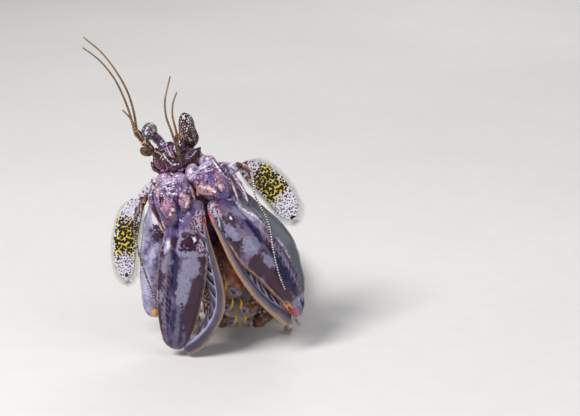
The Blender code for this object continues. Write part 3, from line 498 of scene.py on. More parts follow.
class Finish:
    """A procedural finish: a clouded ground colour with painted marks laid over it one by one."""

    def __init__(self, name, ground, second, cloud_size=4.0):
        self.material = bpy.data.materials.new(name)
        self.material.use_nodes = True
        self.tree = self.material.node_tree
        self.shader = self.tree.nodes["Principled BSDF"]
        self.place = self.tree.nodes.new("ShaderNodeTexCoord").outputs["Object"]
        self.marks, self.height, self.noises = [], None, {}
        self.colour = self.blend(tint(*ground), tint(*second), self.spread(self.noise(cloud_size), 0.35, 0.65))

    def link(self, source, socket):
        if hasattr(source, "is_output"):
            self.tree.links.new(source, socket)
        else:
            socket.default_value = source

    def noise(self, size, detail=3.0, place=None, channel=None):
        """Noise whose lumps are about this many millimetres across."""
        key = (size, detail)
        if key not in self.noises:
            made = self.tree.nodes.new("ShaderNodeTexNoise")
            made.inputs["Scale"].default_value = 1000.0 / size
            made.inputs["Detail"].default_value = detail
            made.inputs["Roughness"].default_value = 0.6
            self.link(place or self.place, made.inputs["Vector"])
            if place:
                made.inputs["Scale"].default_value = 1.0 / size
            self.noises[key] = made
        return self.noises[key].outputs["Fac"]

    def lay(self):
        """The piece's own flat coordinates in millimetres: across and along its surface."""
        found = self.tree.nodes.new("ShaderNodeAttribute")
        found.attribute_name = "lay"
        return found.outputs["Vector"]

    def cells(self, size, place=None, random=1.0, kind="F1"):
        """Distance, in sizes, to the nearest of scattered points about this many millimetres apart."""
        made = self.tree.nodes.new("ShaderNodeTexVoronoi")
        made.feature = kind
        made.inputs["Randomness"].default_value = random
        made.inputs["Scale"].default_value = (1.0 if place else 1000.0) / size
        if place:
            made.voronoi_dimensions = "2D"
        self.link(place or self.place, made.inputs["Vector"])
        return made.outputs["Distance"]

    def sum(self, first, second, operation="ADD"):
        made = self.tree.nodes.new("ShaderNodeMath")
        made.operation = operation
        self.link(first, made.inputs[0])
        self.link(second, made.inputs[1])
        return made.outputs[0]

    def spread(self, value, low, high, bottom=0.0, top=1.0):
        """The value carried from low..high to bottom..top, smoothly and within them."""
        made = self.tree.nodes.new("ShaderNodeMapRange")
        made.interpolation_type = "SMOOTHSTEP"
        self.link(value, made.inputs["Value"])
        for socket, number in (("From Min", low), ("From Max", high), ("To Min", bottom), ("To Max", top)):
            made.inputs[socket].default_value = number
        return made.outputs["Result"]

    def blend(self, under, over, factor):
        made = self.tree.nodes.new("ShaderNodeMix")
        made.data_type = "RGBA"
        self.link(factor, made.inputs[0])
        self.link(under, made.inputs[6])
        self.link(over, made.inputs[7])
        return made.outputs[2]

    def mark(self, name):
        """The signed distance painted on the mesh under this name."""
        if name not in self.marks:
            self.marks.append(name)
        found = self.tree.nodes.new("ShaderNodeAttribute")
        found.attribute_name = name
        return found.outputs["Fac"]

    def inside(self, name, soft=0.2, wobble=0.4, size=1.2, strength=1.0):
        """1 inside the mark and 0 outside, its rim soft millimetres wide and wandering by wobble."""
        distance = self.mark(name)
        if wobble:
            stray = self.spread(self.noise(size, 1.5), 0.3, 0.7, -wobble, wobble)
            distance = self.sum(distance, stray)
        return self.spread(distance, -soft / 2, soft / 2, 0.0, strength)

    def over(self, colour, factor):
        """Lays a colour over all before it, where the factor is 1."""
        self.colour = self.blend(self.colour, tint(*colour) if isinstance(colour, tuple) else colour, factor)
        return self

    def veins(self, name, colour, size, thin=0.03, strength=0.7):
        """Thin wandering lines of this colour inside a mark, where noise crosses its middle value."""
        away = self.sum(self.sum(self.noise(size, 2.0), 0.5, "SUBTRACT"), 0.0, "ABSOLUTE")
        lines = self.spread(away, thin * 0.4, thin, strength, 0.0)
        if name:
            lines = self.sum(lines, self.inside(name, 0.6, 0.4), "MULTIPLY")
        return self.over(colour, lines)

    def painted(self, name, colour, soft=0.2, wobble=0.4, size=1.2, strength=1.0):
        return self.over(colour, self.inside(name, soft, wobble, size, strength))

    def specks(self, name, colour, size, reach, soft=0.08, strength=1.0, place=None, wobble=0.3):
        """Scattered dots of this colour, one to each cell, kept to the inside of a mark."""
        dots = self.spread(self.cells(size, place), reach - soft, reach + soft, 1.0, 0.0)
        factor = self.sum(dots, self.inside(name, 0.6, wobble), "MULTIPLY") if name else dots
        if strength < 1:
            factor = self.sum(factor, strength, "MULTIPLY")
        return self.over(colour, factor)

    def bump(self, source, depth):
        """Adds this many millimetres of fine height."""
        made = self.tree.nodes.new("ShaderNodeBump")
        made.inputs["Strength"].default_value = 1.0
        made.inputs["Distance"].default_value = depth * MM
        self.link(source, made.inputs["Height"])
        if self.height:
            self.link(self.height, made.inputs["Normal"])
        self.height = made.outputs["Normal"]
        return self

    def done(self, rough=0.4, vary=0.12, coat=0.15, coat_rough=0.2, grain=0.08, grain_size=0.35, through=0.0, shine=0.3):
        """Fine brightness grain, uneven gloss and a thin clear coat finish it."""
        shade = self.spread(self.noise(grain_size, 2.0), 0.25, 0.75, 0.0, grain * 2)
        dark = self.blend(self.colour, (0.0, 0.0, 0.0, 1.0), shade)
        inputs = self.shader.inputs
        self.link(dark, inputs["Base Color"])
        self.link(self.spread(self.noise(1.6), 0.3, 0.7, rough - vary, rough + vary), inputs["Roughness"])
        inputs["Specular IOR Level"].default_value = shine
        inputs["Coat Weight"].default_value = coat
        inputs["Coat Roughness"].default_value = coat_rough
        if through:
            inputs["Subsurface Weight"].default_value = through
            inputs["Subsurface Radius"].default_value = (1.0, 0.6, 0.5)
            inputs["Subsurface Scale"].default_value = 0.6 * MM
        if self.height:
            self.link(self.height, inputs["Normal"])
        return self


HATCH_PITCH = 1.5  # between the fine lines, along their own coordinate, in mm


def claw_finish():
    """Mauve-grey shell with plum-brown blotches, pale patches, navy channels, tan rims and painted highlights."""
    made = Finish("claw_shell", (122, 106, 134), (94, 77, 106), 3.4)
    made.painted("lilac", (150, 144, 172), 1.2, 0.8, 2.4)
    made.painted("mauve", (80, 62, 112), 2.0, 0.9, 2.0)
    made.painted("grey", (118, 120, 138), 0.5, 0.2, 2.4)
    made.painted("brown", (56, 24, 45), 0.9, 0.4, 2.2)
    made.painted("navy", (14, 13, 66), 0.9, 0.35, 2.2)
    made.painted("olive", (84, 88, 98), 0.9, 0.5, 2.4)
    slanted = made.sum(made.mark("slant"), HATCH_PITCH / 2, "PINGPONG")
    slanted = made.sum(slanted, made.spread(made.noise(2.2, 1.5), 0.3, 0.7, -0.16, 0.16))
    lines = made.sum(made.spread(slanted, 0.1, 0.36, 0.66, 0.0), made.inside("hatch", 0.9, 0.5), "MULTIPLY")
    made.over((140, 126, 166), lines)
    gaps = made.sum(made.spread(slanted, 0.45, 0.7, 0.0, 0.5), made.inside("hatch", 0.9, 0.5), "MULTIPLY")
    made.over((30, 22, 60), gaps)
    made.veins("fret", (160, 156, 180), 1.9, 0.02, 0.4)
    made.painted("pale", (128, 125, 151), 0.6, 0.4, 1.4)
    made.specks("pale", (98, 90, 122), 1.0, 0.26, 0.24, 0.65)
    # light: a soft pale painted highlight on the palms and arms
    made.painted("light", (178, 176, 210), 1.8, 0.6, 1.6)
    made.painted("dark", (46, 13, 42), 0.4, 0.6, 1.0)
    made.painted("blush", (166, 158, 178), 0.7, 0.4, 0.9)
    made.specks("speck", (96, 26, 50), 0.62, 0.44, 0.06)
    made.specks("dots", (72, 48, 80), 0.95, 0.15, 0.04, 0.85)
    made.painted("rose", (158, 104, 124), 0.8, 0.6, 0.9)
    # white: small painted highlights and glints on the palms, arms and knobs
    made.painted("white", (216, 212, 226), 0.4, 0.2, 0.8)
    made.painted("tan", (176, 138, 112), 0.2, 0.06, 0.8)
    made.painted("gold", (214, 158, 92), 0.9, 0.2, 0.8)
    made.painted("red", (172, 58, 50), 1.2, 0.25, 0.8)
    made.painted("ink", (36, 20, 36), 0.25, 0.2, 0.7)
    made.bump(made.noise(0.22, 2.0), 0.035)
    made.bump(made.noise(1.1), 0.12)
    return made.done(0.34, 0.1, 0.3, 0.16, 0.07)


def wrist_finish():
    """Knobbly purple shell with whitish grains, violet channels, pink lobes, golden rims, painted highlights and
    painted shade.
    """
    made = Finish("wrist_shell", (140, 110, 150), (96, 66, 108), 1.8)
    made.painted("lilac", (198, 192, 224), 1.3, 0.5, 1.2)
    made.painted("rose", (186, 136, 158), 0.9, 0.4, 0.8)
    made.painted("blue", (88, 80, 148), 0.9, 0.4, 0.9)
    made.veins(None, (64, 36, 72), 1.1, 0.05, 0.75)
    made.painted("brown", (84, 36, 52), 0.25, 0.15, 0.8)
    # grain: whitish grain tops, partly their own colour and partly painted highlight
    made.painted("grain", (200, 192, 214), 0.2, 0.1, 0.5)
    # dark purple on the straps, and painted shade in channels, between grains and at the foot of raised lobes
    made.painted("gap", (46, 22, 52), 0.24, 0.1, 0.6)
    made.painted("cream", (216, 198, 186), 0.25, 0.16, 0.5)
    # white: painted highlights
    made.painted("white", (230, 226, 240), 0.16, 0.1, 0.6)
    made.painted("rim", (170, 120, 84), 0.16, 0.08, 0.6)
    made.bump(made.noise(0.22, 2.0), 0.03)
    made.bump(made.noise(0.8), 0.1)
    return made.done(0.3, 0.1, 0.4, 0.14, 0.08)


def finger_finish():
    """Smooth horn: a dark blue-grey band between a golden outer edge and a pale lilac inner edge, with a painted
    highlight along the inner edge.
    """
    made = Finish("finger_horn", (112, 102, 118), (98, 88, 106), 6.0)
    made.painted("slate", (62, 56, 72), 1.3, 0.15, 2.5)
    made.painted("gold", (168, 132, 98), 0.8, 0.06, 2.2)
    made.painted("pale", (142, 138, 176), 0.9, 0.1, 1.8)
    # white: a painted highlight along the finger's inner edge and the teeth's edges
    made.painted("white", (206, 202, 222), 0.35, 0.08, 1.0)
    made.painted("rose", (180, 110, 112), 1.0, 0.4, 1.2)
    made.painted("red", (170, 26, 44), 0.5, 0.2, 0.8)
    made.painted("ink", (44, 34, 58), 0.3, 0.06, 0.9)
    made.bump(made.noise(0.5, 2.0), 0.03)
    return made.done(0.3, 0.08, 0.35, 0.15, 0.05)


def scale_finish():
    """White paddle with brown dots that grow into black blots, merging over yellow in its middle."""
    made = Finish("scale_white", (214, 211, 224), (196, 192, 210), 3.0)
    lay = made.lay()
    stray = made.tree.nodes.new("ShaderNodeTexNoise")
    stray.inputs["Scale"].default_value = 0.9
    made.link(lay, stray.inputs["Vector"])
    shifted = made.tree.nodes.new("ShaderNodeVectorMath")
    shifted.operation = "MULTIPLY_ADD"
    made.link(stray.outputs["Color"], shifted.inputs[0])
    shifted.inputs[1].default_value = (0.36, 0.36, 0.0)
    made.link(lay, shifted.inputs[2])
    bent = shifted.outputs[0]
    yellow = made.inside("yellow", 1.8, 1.0, 1.1)
    made.over((208, 186, 58), yellow)
    reach = made.sum(made.mark("swell"), made.spread(made.noise(1.3, 1.5), 0.3, 0.7, -0.06, 0.06))
    blots = made.spread(made.sum(reach, made.cells(0.7, bent, 0.85), "SUBTRACT"), -0.05, 0.05)
    made.over((66, 34, 34), blots)
    made.over((20, 15, 22), made.sum(blots, made.spread(made.mark("swell"), 0.3, 0.42), "MULTIPLY"))
    made.painted("rust", (112, 58, 56), 0.3, 0.25, 0.7)
    made.painted("plum", (78, 44, 56), 0.3, 0.3, 0.7)
    made.painted("clear", (170, 168, 172), 0.6, 0.1, 1.5)
    made.painted("ink", (20, 13, 17), 0.2, 0.15, 0.7)
    made.bump(made.noise(0.3, 2.0), 0.03)
    return made.done(0.36, 0.08, 0.2, 0.2, 0.05, through=0.15)


def eye_finish():
    """Dark brown cornea with white flecks, finely dotted below, nearly black at its foot."""
    made = Finish("eye_cornea", (72, 42, 26), (44, 24, 22), 1.0)
    made.painted("mauve", (62, 38, 38), 0.8, 0.4, 1.0)
    made.specks("mauve", (30, 14, 18), 0.6, 0.36, 0.06, 0.9, wobble=0.2)
    made.specks("mauve", (214, 194, 186), 0.54, 0.25, 0.05, 0.95, wobble=0.2)
    made.painted("grey", (100, 88, 104), 0.7, 0.3, 0.9)
    made.painted("ink", (30, 16, 16), 0.5, 0.3, 0.8)
    made.painted("line", (176, 138, 92), 0.2, 0.1, 0.6)
    made.painted("fleck", (232, 226, 240), 0.14, 0.1, 0.3)
    made.painted("plum", (96, 54, 104), 0.6, 0.4, 0.9)
    # white: a thin line on the right cornea, and painted glints on the stalks
    made.painted("white", (236, 232, 244), 0.25, 0.2, 0.6)
    made.painted("gold", (206, 132, 62), 0.3, 0.15, 0.7)
    made.bump(made.cells(0.16), 0.012)
    return made.done(0.2, 0.05, 0.5, 0.08, 0.05)


def head_finish():
    """Dark maroon-purple with thin white, pink and orange ribs and black hollows and edges."""
    made = Finish("head_shell", (58, 22, 50), (30, 9, 26), 1.6)
    made.painted("plum", (92, 42, 98), 1.2, 0.5, 1.2)
    made.painted("maroon", (84, 30, 44), 0.9, 0.5, 1.2)
    made.veins(None, (22, 8, 20), 1.1, 0.09, 0.85)
    made.veins(None, (150, 94, 134), 0.9, 0.03, 0.6)
    made.painted("violet", (128, 104, 160), 0.35, 0.25, 0.7)
    made.painted("ink", (18, 9, 18), 0.3, 0.2, 0.6)
    made.painted("rose", (166, 104, 132), 0.22, 0.14, 0.5)
    made.painted("white", (214, 200, 222), 0.16, 0.14, 0.4)
    made.painted("gold", (214, 124, 58), 0.2, 0.12, 0.5)
    made.bump(made.noise(0.3, 2.0), 0.04)
    return made.done(0.28, 0.1, 0.4, 0.14, 0.08)


def feeler_finish():
    """Golden-brown whips with dark rings, and dark joints with golden edges."""
    made = Finish("feeler_horn", (152, 120, 72), (128, 96, 60), 2.0)
    made.painted("olive", (112, 96, 60), 0.5, 0.3, 0.8)
    made.painted("maroon", (82, 42, 50), 0.4, 0.3, 0.8)
    made.painted("ring", (66, 42, 32), 0.3, 0.1, 0.6)
    made.painted("ink", (28, 14, 22), 0.22, 0.15, 0.6)
    made.painted("gold", (198, 156, 104), 0.18, 0.1, 0.6)
    made.painted("white", (222, 212, 204), 0.2, 0.1, 0.6)
    made.bump(made.noise(0.25, 2.0), 0.03)
    return made.done(0.32, 0.1, 0.3, 0.18, 0.08)


def belly_finish():
    """Orange-brown soft limbs with pale beads, ochre hands and yellow nails."""
    made = Finish("belly_skin", (156, 96, 66), (116, 64, 46), 2.0)
    made.painted("mauve", (142, 104, 114), 0.9, 0.6, 1.4)
    made.painted("shade", (44, 22, 22), 1.8, 0.7, 1.6)
    made.painted("cream", (208, 172, 158), 0.3, 0.2, 0.6)
    made.painted("grey", (136, 120, 140), 0.5, 0.4, 0.9)
    made.painted("ink", (30, 28, 52), 0.3, 0.2, 0.7)
    made.painted("yellow", (232, 184, 54), 0.3, 0.1, 0.7)
    made.specks(None, (92, 46, 32), 0.8, 0.2, 0.08, 0.5)
    made.bump(made.noise(0.4, 2.0), 0.05)
    return made.done(0.4, 0.1, 0.2, 0.22, 0.08, through=0.1)


def shell_finish():
    """Mauve-brown back plates, clouded with pale and dark patches, with dark rear rims."""
    made = Finish("back_shell", (134, 112, 128), (108, 84, 100), 5.0)
    made.over((164, 146, 158), made.spread(made.noise(3.1, 4.0), 0.54, 0.66))
    made.over((78, 50, 66), made.spread(made.noise(2.3, 4.0), 0.56, 0.68))
    made.painted("under", (196, 170, 152), 1.6, 0.6, 2.0)
    made.painted("pale", (196, 184, 196), 0.6, 0.6, 1.4)
    made.painted("dark", (66, 36, 54), 0.7, 0.6, 1.4)
    made.painted("brown", (120, 80, 66), 0.5, 0.5, 1.4)
    made.painted("gold", (198, 150, 92), 0.4, 0.2, 1.2)
    made.painted("white", (226, 218, 224), 0.3, 0.2, 1.0)
    made.painted("ink", (34, 20, 32), 0.25, 0.2, 0.8)
    made.specks(None, (62, 38, 54), 0.66, 0.15, 0.05, 0.65)
    made.bump(made.cells(0.5), 0.05)
    made.bump(made.noise(0.9), 0.1)
    return made.done(0.38, 0.1, 0.2, 0.22, 0.09)


def leg_finish():
    """Pale ochre legs, clouded brown, with darker joints."""
    made = Finish("leg_skin", (182, 152, 132), (150, 116, 104), 2.2)
    made.painted("shade", (104, 68, 66), 0.8, 0.5, 1.2)
    made.painted("pale", (214, 200, 196), 0.6, 0.5, 1.2)
    made.specks(None, (96, 60, 62), 0.6, 0.16, 0.06, 0.7)
    made.bump(made.noise(0.4, 2.0), 0.04)
    return made.done(0.42, 0.1, 0.15, 0.25, 0.08)


def fan_finish():
    """Ochre tail fan blades with dark brown middles, pale rims and rusty spines."""
    made = Finish("fan_shell", (170, 138, 96), (142, 108, 80), 2.6)
    made.painted("dark", (66, 38, 48), 0.6, 0.5, 1.2)
    made.painted("pale", (214, 198, 178), 0.5, 0.3, 1.2)
    made.painted("gold", (210, 152, 70), 0.5, 0.3, 1.0)
    made.painted("ink", (30, 18, 26), 0.25, 0.2, 0.8)
    made.specks(None, (80, 48, 46), 0.7, 0.17, 0.06, 0.6)
    made.bump(made.noise(0.4, 2.0), 0.05)
    return made.done(0.38, 0.1, 0.2, 0.22, 0.08)


def hair_finish(name, root, tip, clear=1.0):
    """Fine hairs of one clouded tint."""
    made = Finish(name, root, tip, 0.8)
    made.done(0.5, 0.1, 0.0, 0.3, 0.05)
    made.shader.inputs["Alpha"].default_value = clear
    return made


def lens_finish():
    """A thin olive flap that lets some light through."""
    made = Finish("flap_skin", (112, 92, 62), (76, 54, 46), 1.4)
    made.painted("white", (214, 204, 180), 0.25, 0.1, 0.8)
    made.painted("ink", (44, 26, 26), 0.5, 0.4, 0.9)
    return made.done(0.28, 0.06, 0.3, 0.15, 0.05, through=0.3)


MADE_FINISHES = {
    "claw": claw_finish(),
    "wrist": wrist_finish(),
    "finger": finger_finish(),
    "scale": scale_finish(),
    "eye": eye_finish(),
    "head": head_finish(),
    "feeler": feeler_finish(),
    "belly": belly_finish(),
    "shell": shell_finish(),
    "leg": leg_finish(),
    "fan": fan_finish(),
    "flap": lens_finish(),
    "fringe": hair_finish("fringe_hair", (206, 204, 198), (186, 184, 176)),
    "brush": hair_finish("brush_hair", (206, 176, 128), (164, 122, 84)),
    "gill": hair_finish("gill_hair", (206, 150, 140), (176, 112, 110)),
    "tuft": hair_finish("tuft_hair", (146, 78, 156), (92, 40, 100)),
    "groove": hair_finish("groove_hair", (196, 178, 204), (150, 124, 150)),
}
FINISHES = {name: made.material for name, made in MADE_FINISHES.items()}
FINISH_MARKS = {name: made.marks for name, made in MADE_FINISHES.items()}


# Claws

PALM_SHARES = (0, 0.1, 0.23, 0.37, 0.5, 0.68, 0.84, 1)
CLAWS = {
    "right": {
        "hand": -1,
        "palm": ((-14.0, -7.0, 45.6), (-14.0, -9.6, 39.6), (-14.2, -11.2, 34.9), (-14.9, -12.0, 28.8),
                 (-15.4, -12.0, 23.4), (-16.4, -11.4, 16.1), (-17.1, -10.2, 9.6), (-17.8, -8.8, 2.2)),
        "palm_widths": (9.0, 10.4, 11.8, 13.4, 13.3, 11.8, 9.4, 4.8),
        "palm_face": (-0.10, -1.0, 0.05),
        "finger": ((-15.2, -9.6, 2.2), (-11.4, -10.4, 4.6), (-7.5, -11.2, 9.4), (-5.2, -11.8, 14.8),
                   (-4.9, -12.2, 19.3), (-5.5, -12.6, 23.8), (-6.5, -12.9, 28.4), (-7.6, -13.2, 33.0),
                   (-8.6, -13.4, 38.0), (-9.2, -12.8, 41.8)),
        "upper_arm": ((-19.2, -3.8, 47.4), (-20.9, -3.0, 42.0), (-22.2, -2.9, 36.0), (-23.2, -2.8, 28.0),
                      (-23.6, -2.2, 19.0), (-23.9, -1.2, 9.0)),
        "arm_sizes": ((0, 5.6, 5.0), (0.2, 8.0, 7.0), (0.5, 8.6, 8.0), (0.8, 7.8, 7.2), (1, 6.0, 5.4)),
        "arm_face": (-0.35, -1.0, 0.0),
        "arm_root": ((-9.5, 8.5, 23.0), (-14.5, 7.0, 15.5), (-19.0, 4.0, 9.0), (-22.2, 0.6, 6.0)),
        "knob": ((-22.6, -5.2, 11.4), (-24.2, -7.2, 12.8)),
    },
    "left": {
        "hand": 1,
        "palm": ((-5.4, -7.2, 47.0), (-2.4, -8.8, 41.6), (2.1, -9.8, 36.2), (4.5, -9.6, 32.3),
                 (7.4, -8.8, 28.7), (10.3, -7.8, 24.6), (13.4, -6.4, 19.4), (16.7, -4.5, 10.6)),
        "palm_widths": (8.0, 11.6, 13.6, 13.9, 12.6, 10.6, 7.9, 4.8),
        "palm_face": (0.67, -0.74, 0.3),
        "finger": ((14.3, -6.4, 9.4), (11.4, -8.4, 12.6), (8.0, -10.4, 16.0), (4.6, -12.2, 20.3),
                   (1.9, -13.4, 24.6), (-0.7, -14.4, 29.2), (-2.6, -15.0, 33.3), (-4.6, -15.4, 37.8),
                   (-6.6, -14.9, 41.6), (-7.8, -13.8, 43.4)),
        "upper_arm": ((-3.6, -1.4, 48.0), (-0.6, -1.2, 44.4), (4.6, -0.8, 38.2), (10.4, -0.4, 31.6),
                      (13.7, 0.6, 23.6), (16.4, 2.4, 13.0)),
        "arm_sizes": ((0, 3.6, 3.4), (0.2, 6.2, 5.4), (0.4, 8.4, 7.2), (0.6, 8.4, 7.6), (0.84, 6.8, 6.6), (1, 4.6, 4.4)),
        "arm_face": (0.5, -0.9, 0.1),
        "arm_root": ((4.6, 9.6, 24.0), (9.6, 9.4, 17.0), (13.6, 7.4, 11.4), (16.6, 4.6, 9.2)),
        "knob": ((13.6, -1.8, 24.6), (14.2, -4.2, 26.6)),
    },
}

SLANT = 1.6  # how steeply the fine lines beside a palm's channel lean
SLANT_START = 80.0  # keeps every value of the lines' own coordinate above zero

# Blotches and painted highlights on the palms: x across and y down from the wrist in mm, half width, half length, turn.
PALM_MARKS = {
    "right": {
        "mauve": ((-1.6, 6.5, 2.8, 3.6), (-3.6, 10.5, 1.6, 3.4), (0.8, 3.6, 2.6, 2.4)),
        "brown": ((4.7, 22.5, 1.9, 2.0), (4.6, 27.0, 1.9, 4.8, 6), (3.2, 30.6, 1.8, 2.8, 20), (4.0, 34.0, 2.0, 5.0),
                  (-5.6, 24.0, 1.0, 4.4), (-4.9, 34.0, 1.0, 6.4), (-5.7, 15.9, 1.0, 0.8), (2.0, 16.4, 1.1, 0.45),
                  (5.6, 17.6, 0.9, 2.8), (-3.4, 24.0, 1.0, 5.4), (-3.2, 13.0, 0.8, 3.0)),
        "navy": ((-1.8, 20.6, 1.2, 7.4), (-2.9, 32.0, 0.8, 6.0), (-0.9, 35.4, 1.0, 6.6), (1.4, 36.0, 0.7, 5.4),
                 (-2.4, 15.4, 0.9, 2.6), (-3.0, 8.0, 0.9, 1.3)),
        "olive": ((0.3, 37.0, 0.5, 5.4),),
        "pale": ((-4.6, 13.6, 0.8, 1.2, -12), (-4.7, 18.8, 1.05, 1.9, 8), (-5.6, 28.5, 0.7, 1.6), (-1.2, 12.2, 0.9, 2.4, 14),
                 (0.6, 14.8, 2.2, 0.9), (3.0, 14.8, 2.4, 0.9), (4.6, 12.0, 0.9, 3.2), (3.6, 7.8, 1.9, 2.8),
                 (-1.0, 9.6, 0.8, 0.9), (2.4, 18.4, 2.5, 2.6), (0.9, 23.4, 1.7, 4.4), (0.7, 26.8, 1.7, 2.6)),
        "dark": ((1.8, 11.8, 2.0, 2.1), (0.2, 10.2, 1.8, 0.9, -12), (3.4, 10.4, 1.2, 2.0), (-0.4, 12.6, 0.5, 1.5, 10),
                 (2.6, 8.2, 0.7, 0.9, 30),
                 (1.2, 13.8, 1.0, 0.6), (5.3, 15.6, 0.7, 1.8), (4.9, 20.8, 0.7, 0.9), (2.4, 29.6, 1.3, 0.9)),
        # white: painted highlights and glints
        "white": ((2.4, 10.9, 0.5, 0.2, 24), (2.7, 11.5, 0.2, 0.5), (-1.6, 6.2, 0.7, 0.3, 30), (-4.5, 13.2, 0.5, 1.1, -12)),
        "blush": ((3.9, 6.8, 1.7, 3.0), (4.9, 11.6, 0.7, 2.6)),
        # light: a soft painted highlight
        "light": ((-4.8, 14.0, 0.5, 1.2, -12),),
        "speck": ((3.7, 6.8, 2.3, 3.8), (3.4, 10.0, 1.8, 1.4), (4.7, 12.6, 1.0, 2.8)),
        "dots": ((1.6, 20.0, 3.0, 3.6), (0.4, 26.0, 1.4, 2.0)),
    },
    "left": {
        "mauve": ((0.8, 3.0, 3.2, 3.2), (2.2, 6.6, 1.4, 3.2), (0.6, 11.0, 1.0, 2.6)),
        "brown": ((-4.2, 22.0, 2.9, 3.4), (-3.2, 28.5, 2.4, 8.0, -4), (-0.6, 20.0, 1.8, 1.0), (-4.8, 14.2, 1.6, 1.3),
                  (-6.3, 13.6, 0.6, 3.8), (-2.4, 34.5, 1.6, 3.4), (3.9, 21.0, 1.0, 3.0), (2.4, 20.6, 1.4, 1.2)),
        "navy": ((2.0, 14.4, 1.7, 4.6), (1.0, 30.6, 2.7, 7.2), (2.6, 24.5, 1.8, 3.0), (3.2, 32.0, 1.4, 6.0), (1.2, 1.4, 1.8, 1.2),
                 (1.6, 40.3, 1.0, 1.2, 20)),
        "pale": ((-4.6, 10.8, 1.35, 2.4, 4), (-2.6, 15.9, 2.4, 2.3), (-0.6, 16.4, 1.3, 1.7), (0.9, 7.4, 1.2, 2.6, -8),
                 (-0.9, 23.0, 1.35, 2.7, -6), (-5.0, 4.8, 1.3, 2.6), (0.4, 38.7, 2.8, 1.6)),
        "dark": ((-2.4, 7.9, 1.3, 2.3, -10), (-3.8, 6.8, 0.8, 0.9), (-1.3, 10.2, 0.7, 1.4, -16), (-4.3, 13.6, 1.3, 0.8, 16),
                 (-6.1, 12.2, 0.4, 1.4), (-3.5, 19.2, 1.9, 0.7, -6)),
        # white: painted highlights and glints
        "white": ((-2.0, 7.4, 0.36, 0.5), (0.6, 3.0, 0.8, 0.3, 20), (1.4, 38.2, 0.9, 0.3, 10)),
        "blush": ((-4.8, 4.4, 1.0, 2.4),),
        # light: a soft painted highlight along the palm's rim
        "light": ((3.4, 9.0, 0.5, 3.0, -8),),
        "speck": ((-5.0, 4.6, 1.5, 3.2), (-3.4, 3.0, 1.5, 1.6), (-3.4, 5.6, 1.0, 1.0)),
        "dots": ((-2.4, 16.2, 2.6, 2.4), (-2.0, 4.8, 1.4, 0.8)),
        "gold": ((-3.2, 38.2, 0.7, 1.6, -14),),
        "red": ((-2.7, 39.9, 0.6, 1.6, -16),),
        "rose": ((-1.6, 41.4, 1.0, 1.2),),
    },
}


def palm_relief(hand):
    """Sinks the palm's long channel, raises its rims and adds low lengthwise swells."""

    def relief(skin):
        u, t, front = skin.u, skin.t, skin.front
        open_side = step_up(front, 0.0, 0.35)
        channel = -1.15 * hump(u, hand * 0.45, 0.16) * np.clip(t * 4, 0, 1) * open_side
        ribs = 0.07 * np.sin(u * 46) * hump(u, hand * 0.45, 0.28) * open_side
        rims = 0.34 * hump(np.abs(u), 0.955, 0.035) - 0.2 * hump(np.abs(u), 0.87, 0.04)
        swell = 0.28 * hump(u, -hand * 0.2, 0.22) * hump(t, 0.35, 0.3) * open_side
        lumps = 0.13 * clouds(skin.place, 3.2, 11) + 0.035 * pebbles(skin.place, 0.8, 5)
        return channel + ribs + rims * np.clip(t * 6, 0, 1) * open_side + swell + lumps

    return relief


def make_palm(name):
    """The long flat hand of a claw: a rounded blade with a channel, rims and its own blotches."""
    claw = CLAWS[name]
    hand = claw["hand"]
    sizes = [(share, width, 3.4 + 0.13 * width) for share, width in zip(PALM_SHARES, claw["palm_widths"])]
    palm = limb(claw["palm"], sizes, claw["palm_face"], 190, 150, (0.05, 0.08), (0.9, 0.85), palm_relief(hand))
    x, y, u, front = palm.x, palm.y, palm.u, palm.front
    facing = np.where(front > -0.15, 0.0, OUTSIDE)
    for mark, places in PALM_MARKS[name].items():
        if places:
            palm.paint(**{mark: spots(x, y, places) + facing})
    half = palm.width[:, None] / 2
    rim = lambda at, wide: wide - np.abs(u - at) * half
    fade = np.where((palm.t > 0.12) & (front > -0.2), 0.0, OUTSIDE)
    palm.paint(tan=np.maximum(rim(-hand * 0.97, 0.14), rim(hand * 0.97, 0.13)) + fade)
    palm.paint(ink=np.maximum(rim(-hand * 0.88, 0.06), rim(hand * 0.9, 0.05)) + fade)
    palm.paint(hatch=np.where((palm.t > 0.36) & (palm.t < 0.84) & (front > 0), rim(hand * 0.62, 1.0), OUTSIDE))
    palm.paint(slant=SLANT_START - hand * x * SLANT - y)
    palm.paint(brown=rim(-hand * 0.8, 0.14) + fade, mauve=np.where(front < -0.1, 0.6 * clouds(palm.place, 5.0, 31), OUTSIDE))
    if name == "left":
        over = x - 3.5 - 0.3 * (y - 7.5)
        ends = np.minimum(y - 4.0, 17.0 - y)
        # white: a painted highlight line along the edge where the grey begins
        palm.paint(grey=np.minimum(over, ends), white=np.minimum(0.22 - np.abs(over - 0.1), ends + 1.0),
                   tan=np.minimum(0.1 - np.abs(over + 0.45), ends))
    build(f"palm_{name}", [palm], "claw", replaces=(f"claw_palm_{name}",))
    comb_places(palm, name, hand)


def comb_places(palm, name, hand):
    """Slanting tufts of fine hairs along the palm's channel."""
    edge = math.acos(hand * 0.56) / (2 * math.pi)
    tufts = []
    for k in range(3):
        t = np.linspace(0.30, 0.86, 46) + 0.002 * k
        tufts.append(hairs_on(palm, t, edge, 1.6, (0.18, 0.86, 0.5 * hand), 0.09, 0.3, 71 + k, 0.07, 6, 4))
    build(f"palm_hairs_{name}", [], "groove", tufts)


